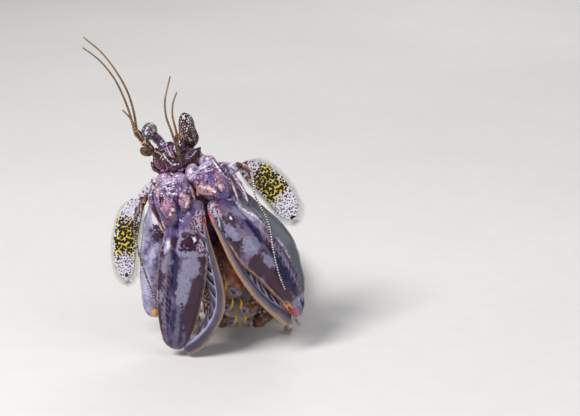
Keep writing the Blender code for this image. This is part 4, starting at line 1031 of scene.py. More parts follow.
def finger_teeth(claw, length_of):
    """Long curved spines on the finger's inner edge, leaning towards its tip, longest in the middle."""
    hand = claw["hand"]
    shares = np.linspace(0.13, 0.87, 9)
    path = line_at(claw["finger"], shares)
    tangent = unit(line_at(claw["finger"], shares + 0.02) - path)
    face = unit(np.asarray(claw["palm_face"], float))
    inward = unit(np.cross(face, tangent)) * -hand
    teeth = []
    for share, here, along, side in zip(shares, path, tangent, inward):
        length = length_of(share)
        root = here + side * 0.5 - along * 0.8
        tip = here + unit(side * 0.56 + along * 0.83) * length
        tooth = limb((root, (root + tip) / 2 + side * 0.35, tip), ((0, 1.9, 1.1), (0.5, 1.15, 0.8), (1, 0.26, 0.2)),
                     face, 26, 14, (0, 0.03))
        inner = tooth.u * -hand
        # pale and white on one edge of each tooth are a painted lit edge; slate is the tooth's own colour
        tooth.paint(slate=0.9, pale=(-0.55 - inner) * 0.9, white=(-0.9 - inner) * 0.9)
        teeth.append(tooth)
    return teeth


def make_finger(name):
    """The claw's last joint: a bowed horn blade, keeled along its middle, with its row of spines."""
    claw = CLAWS[name]
    hand = claw["hand"]
    sizes = ((0, 4.2, 3.2), (0.1, 3.9, 2.9), (0.25, 3.0, 2.5), (0.45, 2.7, 2.2), (0.8, 1.7, 1.5), (0.93, 1.0, 0.9),
             (1, 0.35, 0.35))

    def relief(skin):
        keel = 0.16 * hump(skin.u, 0, 0.3) * step_up(skin.front, 0, 0.5)
        edge = -0.16 * hump(np.abs(skin.u), 0.72, 0.12)
        return keel + edge + 0.05 * clouds(skin.place, 2.4, 17)

    finger = limb(claw["finger"], sizes, claw["palm_face"], 170, 56, (0.05, 0), (1.0, 0.9), relief)
    inner = -hand * finger.u
    half = finger.width[:, None] / 2
    finger.paint(
        slate=(0.4 - np.abs(inner - 0.1)) * half,
        gold=(-0.74 - inner) * half,
        pale=(inner - 0.62) * half,
        # white: a painted highlight along the inner edge
        white=(inner - 0.94) * half,
        rose=np.where(finger.t > 0.9, (finger.t - 0.93) * finger.length * 0.4, OUTSIDE),
        red=(finger.t - 0.965) * finger.length,
        ink=np.where(finger.t > 0.05, 0.05 - np.abs(inner - 0.47) * half, OUTSIDE),
    )
    teeth = finger_teeth(claw, lambda share: 3.6 + 4.2 * math.sin(math.pi * min(1.0, share * 1.1)))
    build(f"finger_{name}", [finger, *teeth], "finger", replaces=(f"claw_finger_{name}",))


ARM_MARKS = {
    "right": {
        "pale": ((-2.4, 26.0, 0.5, 9.0, -2), (0.3, 18.4, 0.9, 2.2, 20), (-1.2, 33.0, 0.9, 2.2), (-2.0, 14.0, 0.5, 4.0)),
        # white: painted highlights
        "white": ((0.2, 7.6, 1.5, 2.3), (1.9, 10.4, 0.25, 1.2, -30)),
        # light: soft painted highlights
        "light": ((0.4, 8.6, 1.8, 2.6), (0.5, 18.6, 1.0, 2.6, 20), (-1.0, 27.0, 0.9, 7.0), (-3.0, 22.0, 0.4, 10.0)),
        "mauve": ((-1.2, 19.0, 0.9, 4.6), (1.2, 22.0, 0.8, 5.0), (1.9, 12.4, 1.4, 2.8), (-1.2, 13.0, 1.6, 2.0)),
        "navy": ((1.0, 13.6, 1.0, 2.6, 10), (-0.6, 12.0, 1.0, 0.8)),
        "dark": ((1.6, 12.6, 1.2, 2.2), (0.9, 11.2, 1.2, 0.8)),
        "tan": ((1.7, 12.1, 1.1, 0.12, -12),),
        "speck": (),
        "olive": (),
    },
    "left": {
        "pale": ((-2.2, 12.0, 0.4, 4.0, -6),),
        # white: thin painted highlight lines
        "white": ((-1.2, 18.0, 0.16, 6.0, -6), (-2.0, 27.0, 0.14, 4.0, -4)),
        # light: a soft painted highlight
        "light": ((-2.0, 16.0, 0.5, 7.0, -6),),
        "mauve": ((-2.4, 14.0, 0.9, 8.0, -6), (0.0, 6.0, 2.6, 4.0)),
        "dark": ((-1.2, 4.6, 0.5, 1.6),),
        "tan": (),
        "speck": ((-0.4, 5.0, 1.4, 3.0),),
        "olive": ((2.0, 20.0, 2.6, 14.0), (1.4, 31.0, 3.0, 9.0)),
    },
}


def make_arm(name):
    """The claw's broad upper arm, lumpy, with a low ridge along its front, and its gold knob."""
    claw = CLAWS[name]
    hand = claw["hand"]

    def relief(skin):
        ridge = 0.3 * hump(skin.u, hand * 0.55, 0.12) * step_up(skin.front, 0, 0.4)
        lumps = 0.16 * clouds(skin.place, 3.4, 41) + 0.05 * pebbles(skin.place, 0.9, 43)
        return ridge + lumps

    arm = limb(claw["upper_arm"], claw["arm_sizes"], claw["arm_face"], 120, 84, (0.1, 0.1), (0.95, 0.9), relief)
    for mark, places in ARM_MARKS[name].items():
        if places:
            arm.paint(**{mark: spots(arm.x, arm.y, places) + np.where(arm.front > -0.2, 0, OUTSIDE)})
    half = arm.width[:, None] / 2
    arm.paint(lilac=0.6, fret=1.0 if hand < 0 else OUTSIDE, mauve=(np.abs(arm.u + 0.15 * hand) - 0.86) * half)
    thick = 2.4 if hand < 0 else 1.9
    knob = limb(claw["knob"], ((0, thick, thick * 0.9), (0.6, thick * 0.85, thick * 0.8), (1, thick * 0.5, thick * 0.46)),
                UP, 26, 24, (0, 0.3))
    knob.raised(0.16 * clouds(knob.place, 0.8, 49))
    # The white spot is a painted highlight on the knob.
    knob.paint(gold=0.9 - np.abs(knob.y - knob.length * 0.66) * 0.5, rose=0.1, ink=0.35 - knob.y,
               white=spots(knob.x, knob.y, ((-0.3, 2.1, 0.9, 0.5),)) - 0.1)
    build(f"arm_{name}", [arm, knob], "claw", replaces=(f"claw_arm_{name}",))


# Wrists: folds are smaller pieces of shell round the body; the rest is raised and painted on its face.
WRISTS = {
    "right": {
        "body": ((-18.9, -5.4, 50.9), (-18.0, -7.2, 48.1), (-17.8, -8.8, 44.6), (-18.6, -11.0, 38.8)),
        "folds": (
            ("fold", ((-21.9, -5.0, 48.6), (-20.4, -6.0, 50.6), (-18.0, -6.2, 51.0)), 3.2, 3.0),
            ("fold", ((-18.2, -6.2, 51.0), (-15.8, -6.6, 51.0), (-13.9, -7.0, 49.2)), 3.2, 3.2),
            ("strap", ((-22.9, -4.6, 49.4), (-23.6, -6.6, 45.6), (-21.9, -7.8, 41.2), (-20.0, -9.2, 37.8),
                       (-19.2, -9.8, 34.2)), 2.4, 1.6),
            ("edge", ((-22.2, -6.0, 49.4), (-22.3, -7.8, 45.8), (-21.2, -9.2, 41.8), (-19.9, -10.2, 37.6)), 0.9, 1.2),
            ("ridge", ((-14.2, -6.6, 50.2), (-12.6, -8.0, 48.0), (-11.5, -9.4, 45.4)), 1.3, 2.2),
        ),
        "raised": (
            ((3.1, 6.9, 1.75, 2.1, -12), 0.95, 0.4),
            ((-0.9, 8.9, 2.1, 3.2, 8), 0.9, 0.5),
            ((-1.0, 3.2, 0.85, 0.6), 0.25, 0.3),
            ((4.3, 2.4, 1.2, 1.6, 20), 0.4, 0.5),
        ),
        "ridges": ((((-3.7, 1.4), (-3.6, 5.0), (-2.9, 9.4)), 0.42, 0.5),),
        "sunk": ((((0.5, 5.0), (1.3, 7.2), (2.2, 10.0), (2.8, 12.4)), 0.5, 0.85),
                 (((-4.4, 1.0), (-4.3, 6.0), (-3.7, 10.4)), 0.3, 0.5)),
        "lilac": ((0.0, 0.6, 3.4, 2.0), (3.2, 1.2, 0.8, 1.6)),
        "blue": ((1.0, 6.2, 0.7, 1.4, 10), (2.2, 9.6, 0.9, 1.8, -10), (3.0, 0.9, 0.7, 1.4), (-2.6, 10.6, 0.8, 1.2)),
        "rose": ((3.2, 6.8, 1.5, 1.8, -12), (-0.2, 7.8, 1.1, 1.2), (-1.8, 8.8, 1.0, 1.4), (-3.5, 4.6, 0.35, 2.8)),
        "cream": ((0.6, 9.2, 0.6, 0.4, 20), (0.1, 10.5, 0.45, 0.5), (3.6, 7.4, 0.3, 0.9, 16), (2.7, 5.8, 0.5, 0.24)),
        "brown": ((-0.9, 3.2, 0.6, 0.42), (-2.6, 6.2, 0.6, 1.2)),
        # white: painted highlights
        "white": ((-0.6, 2.45, 1.7, 0.16), (0.4, 5.25, 0.9, 0.2), (-0.9, 3.85, 0.6, 0.14)),
        "rim": (((4.7, 6.4), (4.5, 8.2), (3.4, 9.2)), ((0.9, 10.2), (0.2, 11.3), (-1.0, 11.3))),
        # Painted shade along the foot of raised lobes.
        "gap": (((1.7, 5.2), (1.5, 7.6), (2.6, 9.4), (4.0, 9.3)), ((-2.9, 6.2), (-2.8, 9.6), (-1.2, 11.5))),
    },
    "left": {
        "body": ((-8.9, -5.4, 55.2), (-7.5, -7.4, 52.3), (-5.6, -8.8, 49.1), (-3.4, -10.2, 45.8)),
        "folds": (
            ("fold", ((-11.8, -5.6, 54.8), (-12.5, -7.4, 52.8), (-11.3, -8.8, 50.4)), 3.4, 3.4),
            ("fold", ((-10.6, -4.6, 55.2), (-8.0, -5.8, 55.8), (-5.8, -5.8, 55.0)), 3.2, 3.0),
            ("spur", ((-10.5, -9.0, 53.4), (-10.5, -10.8, 50.2), (-10.8, -11.3, 47.4)), 1.5, 1.2),
            ("band", ((-4.6, -4.4, 55.1), (-1.1, -5.4, 50.9), (1.4, -6.4, 47.5), (2.6, -7.0, 44.5)), 1.8, 1.8),
            ("edge", ((-5.6, -5.4, 55.6), (-2.8, -7.6, 52.2), (-0.9, -9.2, 48.6), (0.2, -9.8, 45.6)), 0.9, 1.5),
        ),
        "raised": (
            ((-2.5, 7.1, 1.55, 3.1, -45), 1.0, 0.35),
            ((0.9, 8.6, 1.15, 1.7, 10), 0.7, 0.4),
            ((0.5, 3.0, 0.75, 0.6), 0.25, 0.3),
            ((-2.6, 4.0, 1.6, 1.1, -30), 0.35, 0.5),
        ),
        "ridges": ((((1.9, 0.8), (2.8, 4.0), (3.5, 8.2)), 0.4, 0.55),),
        "sunk": ((((3.0, 1.0), (3.8, 4.5), (4.5, 7.8)), 0.45, 0.8), (((-0.3, 5.2), (-0.1, 6.8)), 0.45, 0.6)),
        "lilac": ((-0.4, 0.8, 3.2, 1.9), (-3.6, 2.4, 0.8, 1.0)),
        "blue": ((-0.2, 6.0, 0.6, 0.9), (0.3, 10.8, 1.3, 0.9), (-0.6, 4.8, 1.0, 0.5, -20)),
        "rose": ((-2.4, 7.2, 1.2, 2.8, -45), (0.9, 8.4, 0.9, 1.4), (1.6, 6.4, 0.7, 1.6)),
        "cream": ((0.8, 8.2, 0.4, 0.6), (-1.6, 7.4, 0.24, 0.9, -40), (-2.8, 6.2, 0.2, 0.7, -45)),
        "brown": ((0.5, 3.0, 0.55, 0.42), (-3.6, 4.6, 0.5, 0.8)),
        # white: painted highlights
        "white": ((-0.8, 2.4, 1.0, 0.2), (-1.0, 8.6, 0.2, 0.7, -30), (2.6, 4.0, 0.14, 2.4, -14)),
        "rim": (((-4.5, 5.4), (-3.4, 7.6), (-1.4, 9.6), (-0.6, 9.8)),),
        # Painted shade along the foot of raised lobes and in a sunk channel.
        "gap": (((-4.7, 6.4), (-3.4, 8.6), (-1.6, 10.3)), ((3.0, 1.0), (3.8, 4.5), (4.5, 7.8)), ((-0.2, 8.0), (0.0, 9.8))),
    },
}


def wrist_fold(kind, line, width, depth, seed):
    """One fold, edge, strap, spur or ridge of a wrist, with the marks of its kind."""
    ends = {"edge": (0.05, 0.1), "strap": (0.15, 0.05), "band": (0.15, 0.05), "spur": (0.2, 0.02)}.get(kind, (0.35, 0.35))
    taper = {"strap": (0.85, 1, 0.4), "band": (0.85, 1, 0.4), "spur": (0.9, 1, 0.2), "ridge": (0.8, 1, 0.5), "edge": (0.8, 1, 0.7)}
    first, middle, last = taper.get(kind, (0.85, 1, 0.8))
    sizes = ((0, width * first, depth * first), (0.5, width * middle, depth), (1, width * last, depth * last))
    lobe = limb(line, sizes, (0, -1, 0.3), 80, 56, ends)
    lobe.raised(0.14 * clouds(lobe.place, 1.5, seed) + 0.04 * pebbles(lobe.place, 0.7, seed))
    half = lobe.width[:, None] / 2
    rim = (np.abs(lobe.u) - 0.78) * half
    if kind == "fold":
        lobe.paint(lilac=0.5 * clouds(lobe.place, 1.6, seed + 1) + 0.25, rose=0.4 * clouds(lobe.place, 1.2, seed + 3) - 0.16,
                   blue=-0.1 - lobe.front)
    if kind == "edge":
        lobe.paint(rose=0.3, cream=(lobe.front - 0.9) * 1.5, gap=-0.5 - lobe.front)
    if kind == "strap":
        lobe.paint(gap=0.5 * clouds(lobe.place, 2.0, seed + 5) + 0.12, lilac=(0.2 - np.abs(lobe.u)) * half,
                   blue=0.4 * clouds(lobe.place, 1.6, seed + 6) - 0.12, rim=rim + 0.02)
    if kind == "band":
        # The band's white stripe is a painted highlight line.
        lobe.paint(lilac=0.5, rose=0.3 * clouds(lobe.place, 1.6, seed + 5), gap=(0.1 - np.abs(lobe.u + 0.4)) * half,
                   white=(0.09 - np.abs(lobe.u - 0.2)) * half)
    if kind in ("spur", "ridge"):
        lobe.paint(rim=rim + 0.12, lilac=(lobe.front - 0.7) * 0.8, rose=0.1)
    return lobe


WRIST_SIZES = ((0, 7.6, 5.4), (0.3, 10.4, 7.4), (0.62, 9.4, 6.8), (1, 3.6, 3.2))


def make_wrist(name):
    """The knobbly wrist: raised lobes with steep rims, sunk channels, and a band of white grains, with painted
    highlights and painted shade.

    The height is the sum over lobes of height * s(distance inside / softness), s being 3s^2 - 2s^3, less
    the same for channels, plus grains where the band lies.
    """
    wrist = WRISTS[name]
    body = limb(wrist["body"], WRIST_SIZES, (0, -1, 0.35), 180, 180, (0.3, 0.15), (0.95, 0.9))
    x, y = body.x, body.y
    before = step_up(body.front, 0.0, 0.35)
    height = 0.16 * clouds(body.place, 2.2, 61)
    for lobe, rise, soft in wrist["raised"]:
        height = height + rise * step_up(spots(x, y, (lobe,)), -0.05, soft) * before
    for path, half, rise in wrist["ridges"]:
        height = height + rise * step_up(streak(x, y, path, half), -0.25, half) * before
    for path, half, depth in wrist["sunk"]:
        height = height - depth * step_up(streak(x, y, path, half), -0.3, half) * before
    band = step_up(y, 2.3, 3.1) * (1 - 0.55 * step_up(y, 5.0, 7.0)) * (1 - step_up(y, 9.6, 11.0)) * before
    band = band * (0.8 if name == "right" else 0.45)
    grains = pebbles(body.place + 0.3 * clouds(body.place, 1.4, 63)[..., None], 0.9, 67)
    height = height + 0.42 * (grains - 0.45) * band
    body.raised(height)
    facing = np.where(body.front > 0, 0, OUTSIDE)
    for mark in ("lilac", "blue", "rose", "cream", "brown", "white"):
        body.paint(**{mark: spots(x, y, wrist[mark]) + facing})
    for path in wrist["rim"]:
        body.paint(rim=streak(x, y, path, 0.17) + facing)
    # Painted shade along the foot of raised lobes and in a sunk channel.
    for path in wrist["gap"]:
        body.paint(gap=streak(x, y, path, 0.2) + facing)
    # The grains' tops are painted whitish, partly their own colour and partly painted highlight; the hollows between
    # them get painted shade.
    few = 0.5 * clouds(body.place, 1.7, 69)
    body.paint(grain=np.where(band > 0.1, (grains - 0.84 - 0.2 * (1 - band) + 0.08 * few) * 1.5, OUTSIDE),
               gap=np.where(band > 0.1, (0.36 + 0.1 * few - grains) * 1.2 * band, OUTSIDE))
    folds = [wrist_fold(kind, line, width, depth, 80 + 7 * k)
             for k, (kind, line, width, depth) in enumerate(wrist["folds"])]
    build(f"wrist_{name}", [body, *folds], "wrist", replaces=(f"claw_wrist_{name}",))


def make_arm_root(name):
    """The stout joint that carries the claw from the chest, ringed by a shallow collar."""
    claw = CLAWS[name]
    sizes = ((0, 6.0, 5.4), (0.4, 4.8, 4.4), (0.8, 4.2, 3.8), (1, 3.2, 3.0))
    collar = lambda skin: 0.35 * hump(skin.t, 0.42, 0.03) - 0.3 * hump(skin.t, 0.5, 0.03) + 0.12 * clouds(skin.place, 1.8, 91)
    root = limb(claw["arm_root"], sizes, FRONT, 60, 40, (0.05, 0.15), (1, 1), collar)
    root.paint(shade=0.5 * clouds(root.place, 2.0, 93), pale=0.4 * clouds(root.place, 3.0, 95) - 0.1)
    build(f"root_{name}", [root], "leg", replaces=(f"claw_root_{name}",))


# Antennae and their scales

def put(name, node, finish, *skins):
    build(name, skins, finish, replaces=(node,))


def shifted(points, face, offset, count=9):
    """The same smooth line moved sideways by this much, at a few places along it."""
    path = line_at(points, np.linspace(0, 1, count))
    tangent = unit(np.gradient(path, axis=0))
    face = unit(np.asarray(face, float) - (tangent @ np.asarray(face, float))[:, None] * tangent)
    return path + np.cross(face, tangent) * offset


SCALES = {
    "left": {
        "path": ((0.2, 3.6, 51.9), (4.8, 4.8, 49.4), (9.2, 5.2, 45.6), (12.6, 4.6, 41.0), (15.3, 3.2, 36.2)),
        "face": (0.1, -1.0, 0.15),
        "width": 8.0,
        "offset": 0.1,
        "full": (5.4, 14.8),
        "plum": ((1.3, 0.9, 1.2, 0.9), (-2.2, 1.6, 0.8, 0.6)),
        "rust": ((-2.0, 4.2, 0.4, 1.5, -16), (-1.0, 3.2, 0.3, 0.9, 10), (-3.0, 6.4, 0.3, 1.1, -10)),
        "ink": (0.1, 21.8, 0.75, 0.5),
    },
    "right": {
        "path": ((-27.2, 2.4, 42.8), (-30.0, 2.6, 37.4), (-31.4, 2.0, 31.4), (-31.8, 1.0, 25.0),
                 (-31.2, 0.0, 19.6)),
        "face": (-0.1, -1.0, 0.0),
        "width": 6.9,
        "offset": -0.6,
        "full": (7.6, 17.2),
        "plum": ((1.8, 1.2, 1.0, 1.1), (2.6, 3.4, 0.7, 0.9), (0.4, 3.0, 0.4, 0.6)),
        "rust": ((1.7, 6.2, 0.45, 1.7, 8), (1.4, 9.4, 0.3, 1.1), (0.8, 4.6, 0.25, 0.6)),
        "ink": (0.2, 23.2, 0.6, 0.55),
    },
}


def make_scale(name):
    """A broad thin paddle: a low rib along it, a thin rim, blots over yellow, and a hair fringe.

    The dots' reach, in shares of their spacing, is 0.29 + 0.25 s(y), less 0.3 on a bare patch before the
    spotted zone, s rising and falling as 3s^2 - 2s^3 over the ends of that zone.
    """
    scale = SCALES[name]
    side = 1 if name == "left" else -1
    width = scale["width"]
    sizes = ((0, width * 0.42, 1.4), (0.2, width * 0.86, 1.1), (0.5, width, 0.9), (0.8, width * 0.86, 0.75),
             (1, width * 0.55, 0.6))

    def relief(skin):
        rib = 0.3 * hump(skin.u, 0.25, 0.16) * (1 - skin.t) * step_up(skin.front, 0, 0.4)
        rim = 0.08 * hump(np.abs(skin.u), 0.93, 0.04) * (skin.front > 0)
        return rib + rim + 0.04 * clouds(skin.place, 2.0, 23)

    path = shifted(scale["path"], scale["face"], scale["offset"])
    blade = limb(path, sizes, scale["face"], 130, 84, (0.08, 0.16), (0.95, 0.7), relief)
    x, y = blade.x, blade.y
    half = blade.width[:, None] / 2
    start, stop = scale["full"]
    uneven = y + 1.5 * clouds(blade.place, 1.8, 7)
    full = step_up(uneven, start - 2.0, start + 1.2) * (1 - step_up(uneven, stop - 1.0, stop + 1.6))
    edge = 0.16 * hump(np.abs(blade.u), 1.0, 0.3)
    bare = step_up(uneven, 1.6, 3.4) * (1 - step_up(uneven, start - 2.6, start - 0.8)) * hump(blade.u, -0.2 * side, 0.5)
    blade.paint(
        yellow=np.minimum(np.minimum(uneven - start - 0.2, stop + 0.2 - uneven), (0.84 - np.abs(blade.u)) * half),
        swell=0.29 + 0.25 * full - edge * full - 0.3 * bare,
        plum=spots(x, y, scale["plum"]),
        rust=spots(x, y, scale["rust"]),
        ink=spots(x, y, (scale["ink"],)),
        clear=0.16 - (1 - np.abs(blade.u)) * half,
    )
    put(f"scale_{name}", f"antenna_scale_{name}", "scale", blade)
    fringes = []
    for side, count, reach in ((0.0, 240, 1.5), (0.5, 240, 1.0)):
        t = 1 - np.linspace(0, 0.93, count) ** 1.15
        length = reach * step_up(t, 0.02, 0.2) + 1.0 * step_up(t, 0.72, 0.97)
        for layer, lean in enumerate((-0.16, 0.12)):
            fringes.append(hairs_on(blade, t, side, length, (0.85, 0.55, lean), 0.06, 0.1, 31 + layer, 0.09))
    for row in (0.985, 0.997):
        turn = np.r_[np.linspace(0.02, 0.48, 26), np.linspace(0.52, 0.98, 26)]
        fringes.append(hairs_on(blade, np.full(len(turn), row), turn, 2.2, (0.35, 1.0, 0.0), 0.06, 0.0, 37, 0.15))
    build(f"scale_fringe_{name}", [], "fringe", fringes)


ANTENNAE = {
    "left": (
        ((-10.6, 1.0, 51.8), (-7.0, 2.4, 51.8), (-3.0, 3.2, 51.6), (0.6, 3.4, 51.4)),
        ((-0.8, 3.0, 52.6), (1.8, 0.8, 52.2), (3.4, -1.8, 51.2)),
        ((3.4, -1.4, 51.4), (4.2, -4.4, 49.8), (4.6, -7.0, 46.6), (6.2, -8.0, 43.4), (7.8, -8.4, 40.4),
         (8.8, -8.8, 37.0), (9.5, -9.6, 32.6), (10.4, -10.6, 28.2), (11.6, -11.4, 24.0), (13.0, -11.2, 20.4)),
    ),
    "right": (
        ((-18.6, 1.4, 49.4), (-22.0, 2.4, 47.8), (-25.3, 2.6, 45.2), (-28.0, 2.4, 42.0)),
        ((-25.6, 1.6, 44.0), (-26.8, 0.0, 41.8), (-27.6, -1.4, 39.6)),
        ((-27.5, -1.2, 40.2), (-28.9, 0.6, 37.6), (-29.4, 0.6, 34.4), (-28.4, -3.4, 31.2), (-26.9, -7.6, 27.4),
         (-25.1, -9.6, 22.8), (-23.4, -10.6, 18.6), (-22.2, -10.8, 15.0)),
    ),
}


def whip(points, thick, thin, pitch, beads_white=None):
    """A ringed whip that swells a little at each joint: radius times 1 + 0.09 sin(2 pi y / pitch)."""
    length = traced(points)[1][-1]
    rows = int(length / pitch * 6)
    beads = lambda skin: 0.045 * thick * np.sin(2 * np.pi * skin.y / pitch)
    made = limb(points, ((0, thick, thick), (0.6, (thick + 2 * thin) / 3, (thick + 2 * thin) / 3), (1, thin, thin)),
                FRONT, rows, 10, (0, 0.01), relief=beads, crowd=0.0)
    ring = 0.22 * pitch - np.abs((made.y % pitch) - pitch * 0.75)
    if beads_white:
        made.paint(ring=0.3, white=beads_white * pitch - np.abs((made.y % pitch) - pitch * 0.25))
    else:
        made.paint(ring=ring)
    return made


def make_antenna(name):
    """The scale's two-jointed stem and the antenna's own short stem with its ringed whip."""
    stem, short, lash = ANTENNAE[name]
    swell = lambda skin: 0.3 * hump(skin.t, 0.42, 0.05) - 0.35 * hump(skin.t, 0.5, 0.03) + 0.2 * clouds(skin.place, 1.6, 13)
    root = limb(stem, ((0, 3.8, 3.4), (0.5, 3.2, 3.0), (1, 2.8, 2.4)), FRONT, 90, 48, (0.1, 0.15), relief=swell)
    root.paint(plum=0.35 * clouds(root.place, 1.1, 15) - 0.16, dots=0.5, rust=0.35 * clouds(root.place, 0.9, 19) - 0.2,
               swell=0.1)
    root.paint(rust=0.12 - np.abs(root.t - 0.5) * root.length)
    put(f"antenna_stem_{name}", f"antenna_{name}", "scale", root)
    joint = limb(short, ((0, 1.6, 1.6), (0.8, 1.3, 1.3), (1, 0.9, 0.9)), FRONT, 50, 24, (0.1, 0.1),
                 relief=lambda skin: -0.16 * hump(skin.t, 0.55, 0.03))
    joint.paint(maroon=0.3 * clouds(joint.place, 0.8, 5) + 0.05, ink=0.3 * clouds(joint.place, 0.7, 9) - 0.12,
                white=0.4 * clouds(joint.place, 0.8, 11) - 0.2)
    thick, thin = (0.56, 0.36) if name == "left" else (0.74, 0.42)
    beads_white = 0.24 if name == "left" else 0.06
    build(f"antenna_whip_{name}", [joint, whip(lash, thick, thin, 0.72, beads_white)], "feeler")


# Eyes and antennules

EYES = {
    "left": {
        "stalk": ((-16.2, 0.6, 57.4), (-15.0, 0.6, 59.6)),
        "ends": ((-12.7, 0.4, 58.1), (-14.9, 0.3, 67.9)),
        "face": FRONT,
        "sizes": ((0, 4.5, 3.7), (0.28, 4.9, 4.1), (0.47, 4.3, 3.6), (0.7, 4.3, 3.7), (1, 3.5, 3.1)),
        "centre": (-13.8, -1.6, 63.0),
    },
    "right": {
        "stalk": ((-20.6, 0.6, 57.6), (-22.4, 0.8, 60.2)),
        "ends": ((-24.5, 5.0, 61.6), (-25.1, -4.4, 63.1)),
        "face": (-1.0, 0.0, 0.25),
        "sizes": ((0, 4.6, 4.0), (0.28, 5.1, 4.4), (0.47, 4.6, 3.7), (0.7, 4.8, 3.5), (1, 4.4, 3.1)),
        "centre": (-25.0, -4.4, 62.9),
    },
}


def make_eye(name):
    """A stalk and a cornea of two lobes with a waist.

    The flecks are spots in six-sided rows, each moved aside by a repeatable random share of the pitch.
    """
    eye = EYES[name]
    low, high = (np.asarray(end) for end in eye["ends"])
    middle = tuple((low + high) / 2)
    cornea = limb((low, middle, high), eye["sizes"], eye["face"], 150, 130, (0.26, 0.26))
    across, up = seen(cornea.place, eye["centre"])
    length = cornea.length
    pitch = 0.84
    if name == "left":
        cell_x, cell_y = np.arctan2(cornea.u, cornea.front) * 2.2, cornea.y
        above = (cell_y > length * 0.5) & (cell_y < length - 0.2)
    else:
        cell_x, cell_y = across, up
        above = (cornea.t > 0.62) & (up < 2.2)
    row = np.round(cell_y / (pitch * 0.866))
    slot = cell_x / pitch + 0.5 * (row % 2)
    column = np.round(slot)
    key = np.stack([column, row, np.zeros_like(row)], -1)
    stray = [hashed(key, 301 + k) for k in range(3)]
    away = np.hypot((slot - column) * pitch - 0.17 * stray[0], (cell_y - row * pitch * 0.866 - 0.15 * stray[1]) * 0.85)
    waist = length * 0.49 + 0.3 * cornea.u
    cornea.paint(
        fleck=np.where(above, 0.14 + 0.07 * stray[2] - away, OUTSIDE),
        line=(0.05 if name == "right" else -0.1) - np.abs(cornea.y - waist - 0.2),
    )
    if name == "left":
        cornea.paint(mauve=np.minimum(waist - cornea.y, cornea.y - 1.0), ink=1.3 - cornea.y + 0.5 * cornea.u,
                     grey=np.where(cornea.y > waist, (-cornea.u - 0.86) * 3, OUTSIDE),
                     gold=np.where((cornea.front > -0.2) & (cornea.y < waist), (cornea.u - 0.93) * 4, OUTSIDE))
    else:
        cornea.paint(grey=0.5, ink=np.minimum(waist + 0.7 - cornea.y, 0.6), gold=0.14 - np.abs(cornea.y - waist + 1.0),
                     white=0.12 - np.abs(cornea.y - waist - 0.9),
                     fleck=spots(across, up, ((0.3, 1.75, 0.36, 0.26), (0.0, 0.3, 0.34, 0.3), (-0.3, -1.0, 0.3, 0.3))))
    cornea.raised(0.04 * hump(cornea.y, waist - 0.2, 0.3))
    stem = limb((*eye["stalk"], middle), ((0, 2.6, 2.6), (0.6, 2.7, 2.7), (1, 3.2, 3.2)), eye["face"], 60, 48, (0.1, 0))
    stem.raised(0.16 * clouds(stem.place, 1.2, 7))
    # white: painted glints scattered on the stalk
    stem.paint(plum=0.4 * clouds(stem.place, 1.4, 7) + 0.1, grey=0.3, ink=0.4 * clouds(stem.place, 1.0, 9) + 0.02,
               white=0.4 * clouds(stem.place, 0.9, 49) - 0.2)
    put(f"cornea_{name}", f"eye_{name}", "eye", cornea, stem)


ANTENNULES = {
    "left": (
        ((-15.3, -5.6, 54.6), (-15.8, -7.2, 57.6), (-16.2, -8.6, 60.6), (-16.4, -9.8, 63.4)),
        (1.6, 1.4, 1.2),
        (
            ((-16.9, -9.5, 62.4), (-17.7, -10.0, 65.2), (-19.0, -10.0, 69.2), (-19.3, -9.2, 73.2),
             (-18.5, -8.0, 77.1), (-17.9, -7.0, 79.6)),
            ((-16.0, -9.4, 62.6), (-16.5, -9.4, 65.3), (-17.4, -8.8, 69.6), (-17.2, -8.0, 72.4),
             (-16.2, -6.8, 75.2)),
            ((-15.7, -9.9, 62.6), (-15.4, -10.4, 65.2), (-15.5, -10.8, 67.2)),
        ),
    ),
    "right": (
        ((-19.9, -4.6, 56.0), (-23.2, -5.3, 58.5), (-25.9, -6.0, 61.4), (-27.7, -6.6, 64.7)),
        (2.9, 2.4, 1.9),
        (
            ((-27.9, -6.7, 64.2), (-29.2, -7.4, 70.0), (-30.6, -8.2, 74.4), (-32.8, -9.2, 79.5),
             (-36.7, -9.6, 84.6), (-40.9, -9.6, 87.9)),
            ((-27.3, -6.4, 64.4), (-28.2, -5.6, 70.0), (-29.6, -5.0, 74.6), (-32.8, -4.8, 80.7),
             (-36.5, -4.8, 85.7), (-41.2, -4.8, 89.8)),
            ((-27.3, -6.9, 64.4), (-28.7, -7.0, 67.6), (-31.0, -7.2, 70.4)),
        ),
    ),
}


def make_antennule(name):
    """Three stout joints, streaked and edged with gold, and three ringed whips."""
    joints, widths, whips = ANTENNULES[name]
    skins = []
    for k, thick in enumerate(widths):
        sizes = ((0, thick * 0.76, thick * 0.74), (0.72, thick, thick * 0.9), (1, thick * 0.86, thick * 0.8))
        bulge = lambda skin: 0.14 * clouds(skin.place, 1.0, 40) - 0.16 * hump(skin.t, 0.84, 0.05)
        joint = limb((joints[k], joints[k + 1]), sizes, FRONT, 60, 44, (0.16, 0.16), relief=bulge)
        y, length, u = joint.y, joint.length, joint.u
        half = joint.width[:, None] / 2
        if name == "right":
            joint.paint(maroon=0.9, ink=np.maximum(0.4 * clouds(joint.place, 0.9, 44) - 0.04, 0.2 - np.abs(u + 0.3) * half),
                        gold=0.08 - np.abs(np.abs(u - 0.1) - 0.62) * half)
        else:
            joint.paint(olive=0.7, ink=0.1 - np.abs(np.abs(u) - 0.72) * half, maroon=0.3 * clouds(joint.place, 1.0, 47) - 0.06)
        golden = 0.06 if name == "right" and k else -0.1
        joint.paint(gold=np.where(joint.front > -0.3, golden - np.abs(y - length * 0.93), OUTSIDE),
                    ink=0.14 - np.abs(y - length * 0.84))
        skins.append(joint)
    skins += [whip(line, 0.72, 0.4, 0.8) for line in whips]
    put(f"antennule_joints_{name}", f"antennule_{name}", "feeler", *skins)


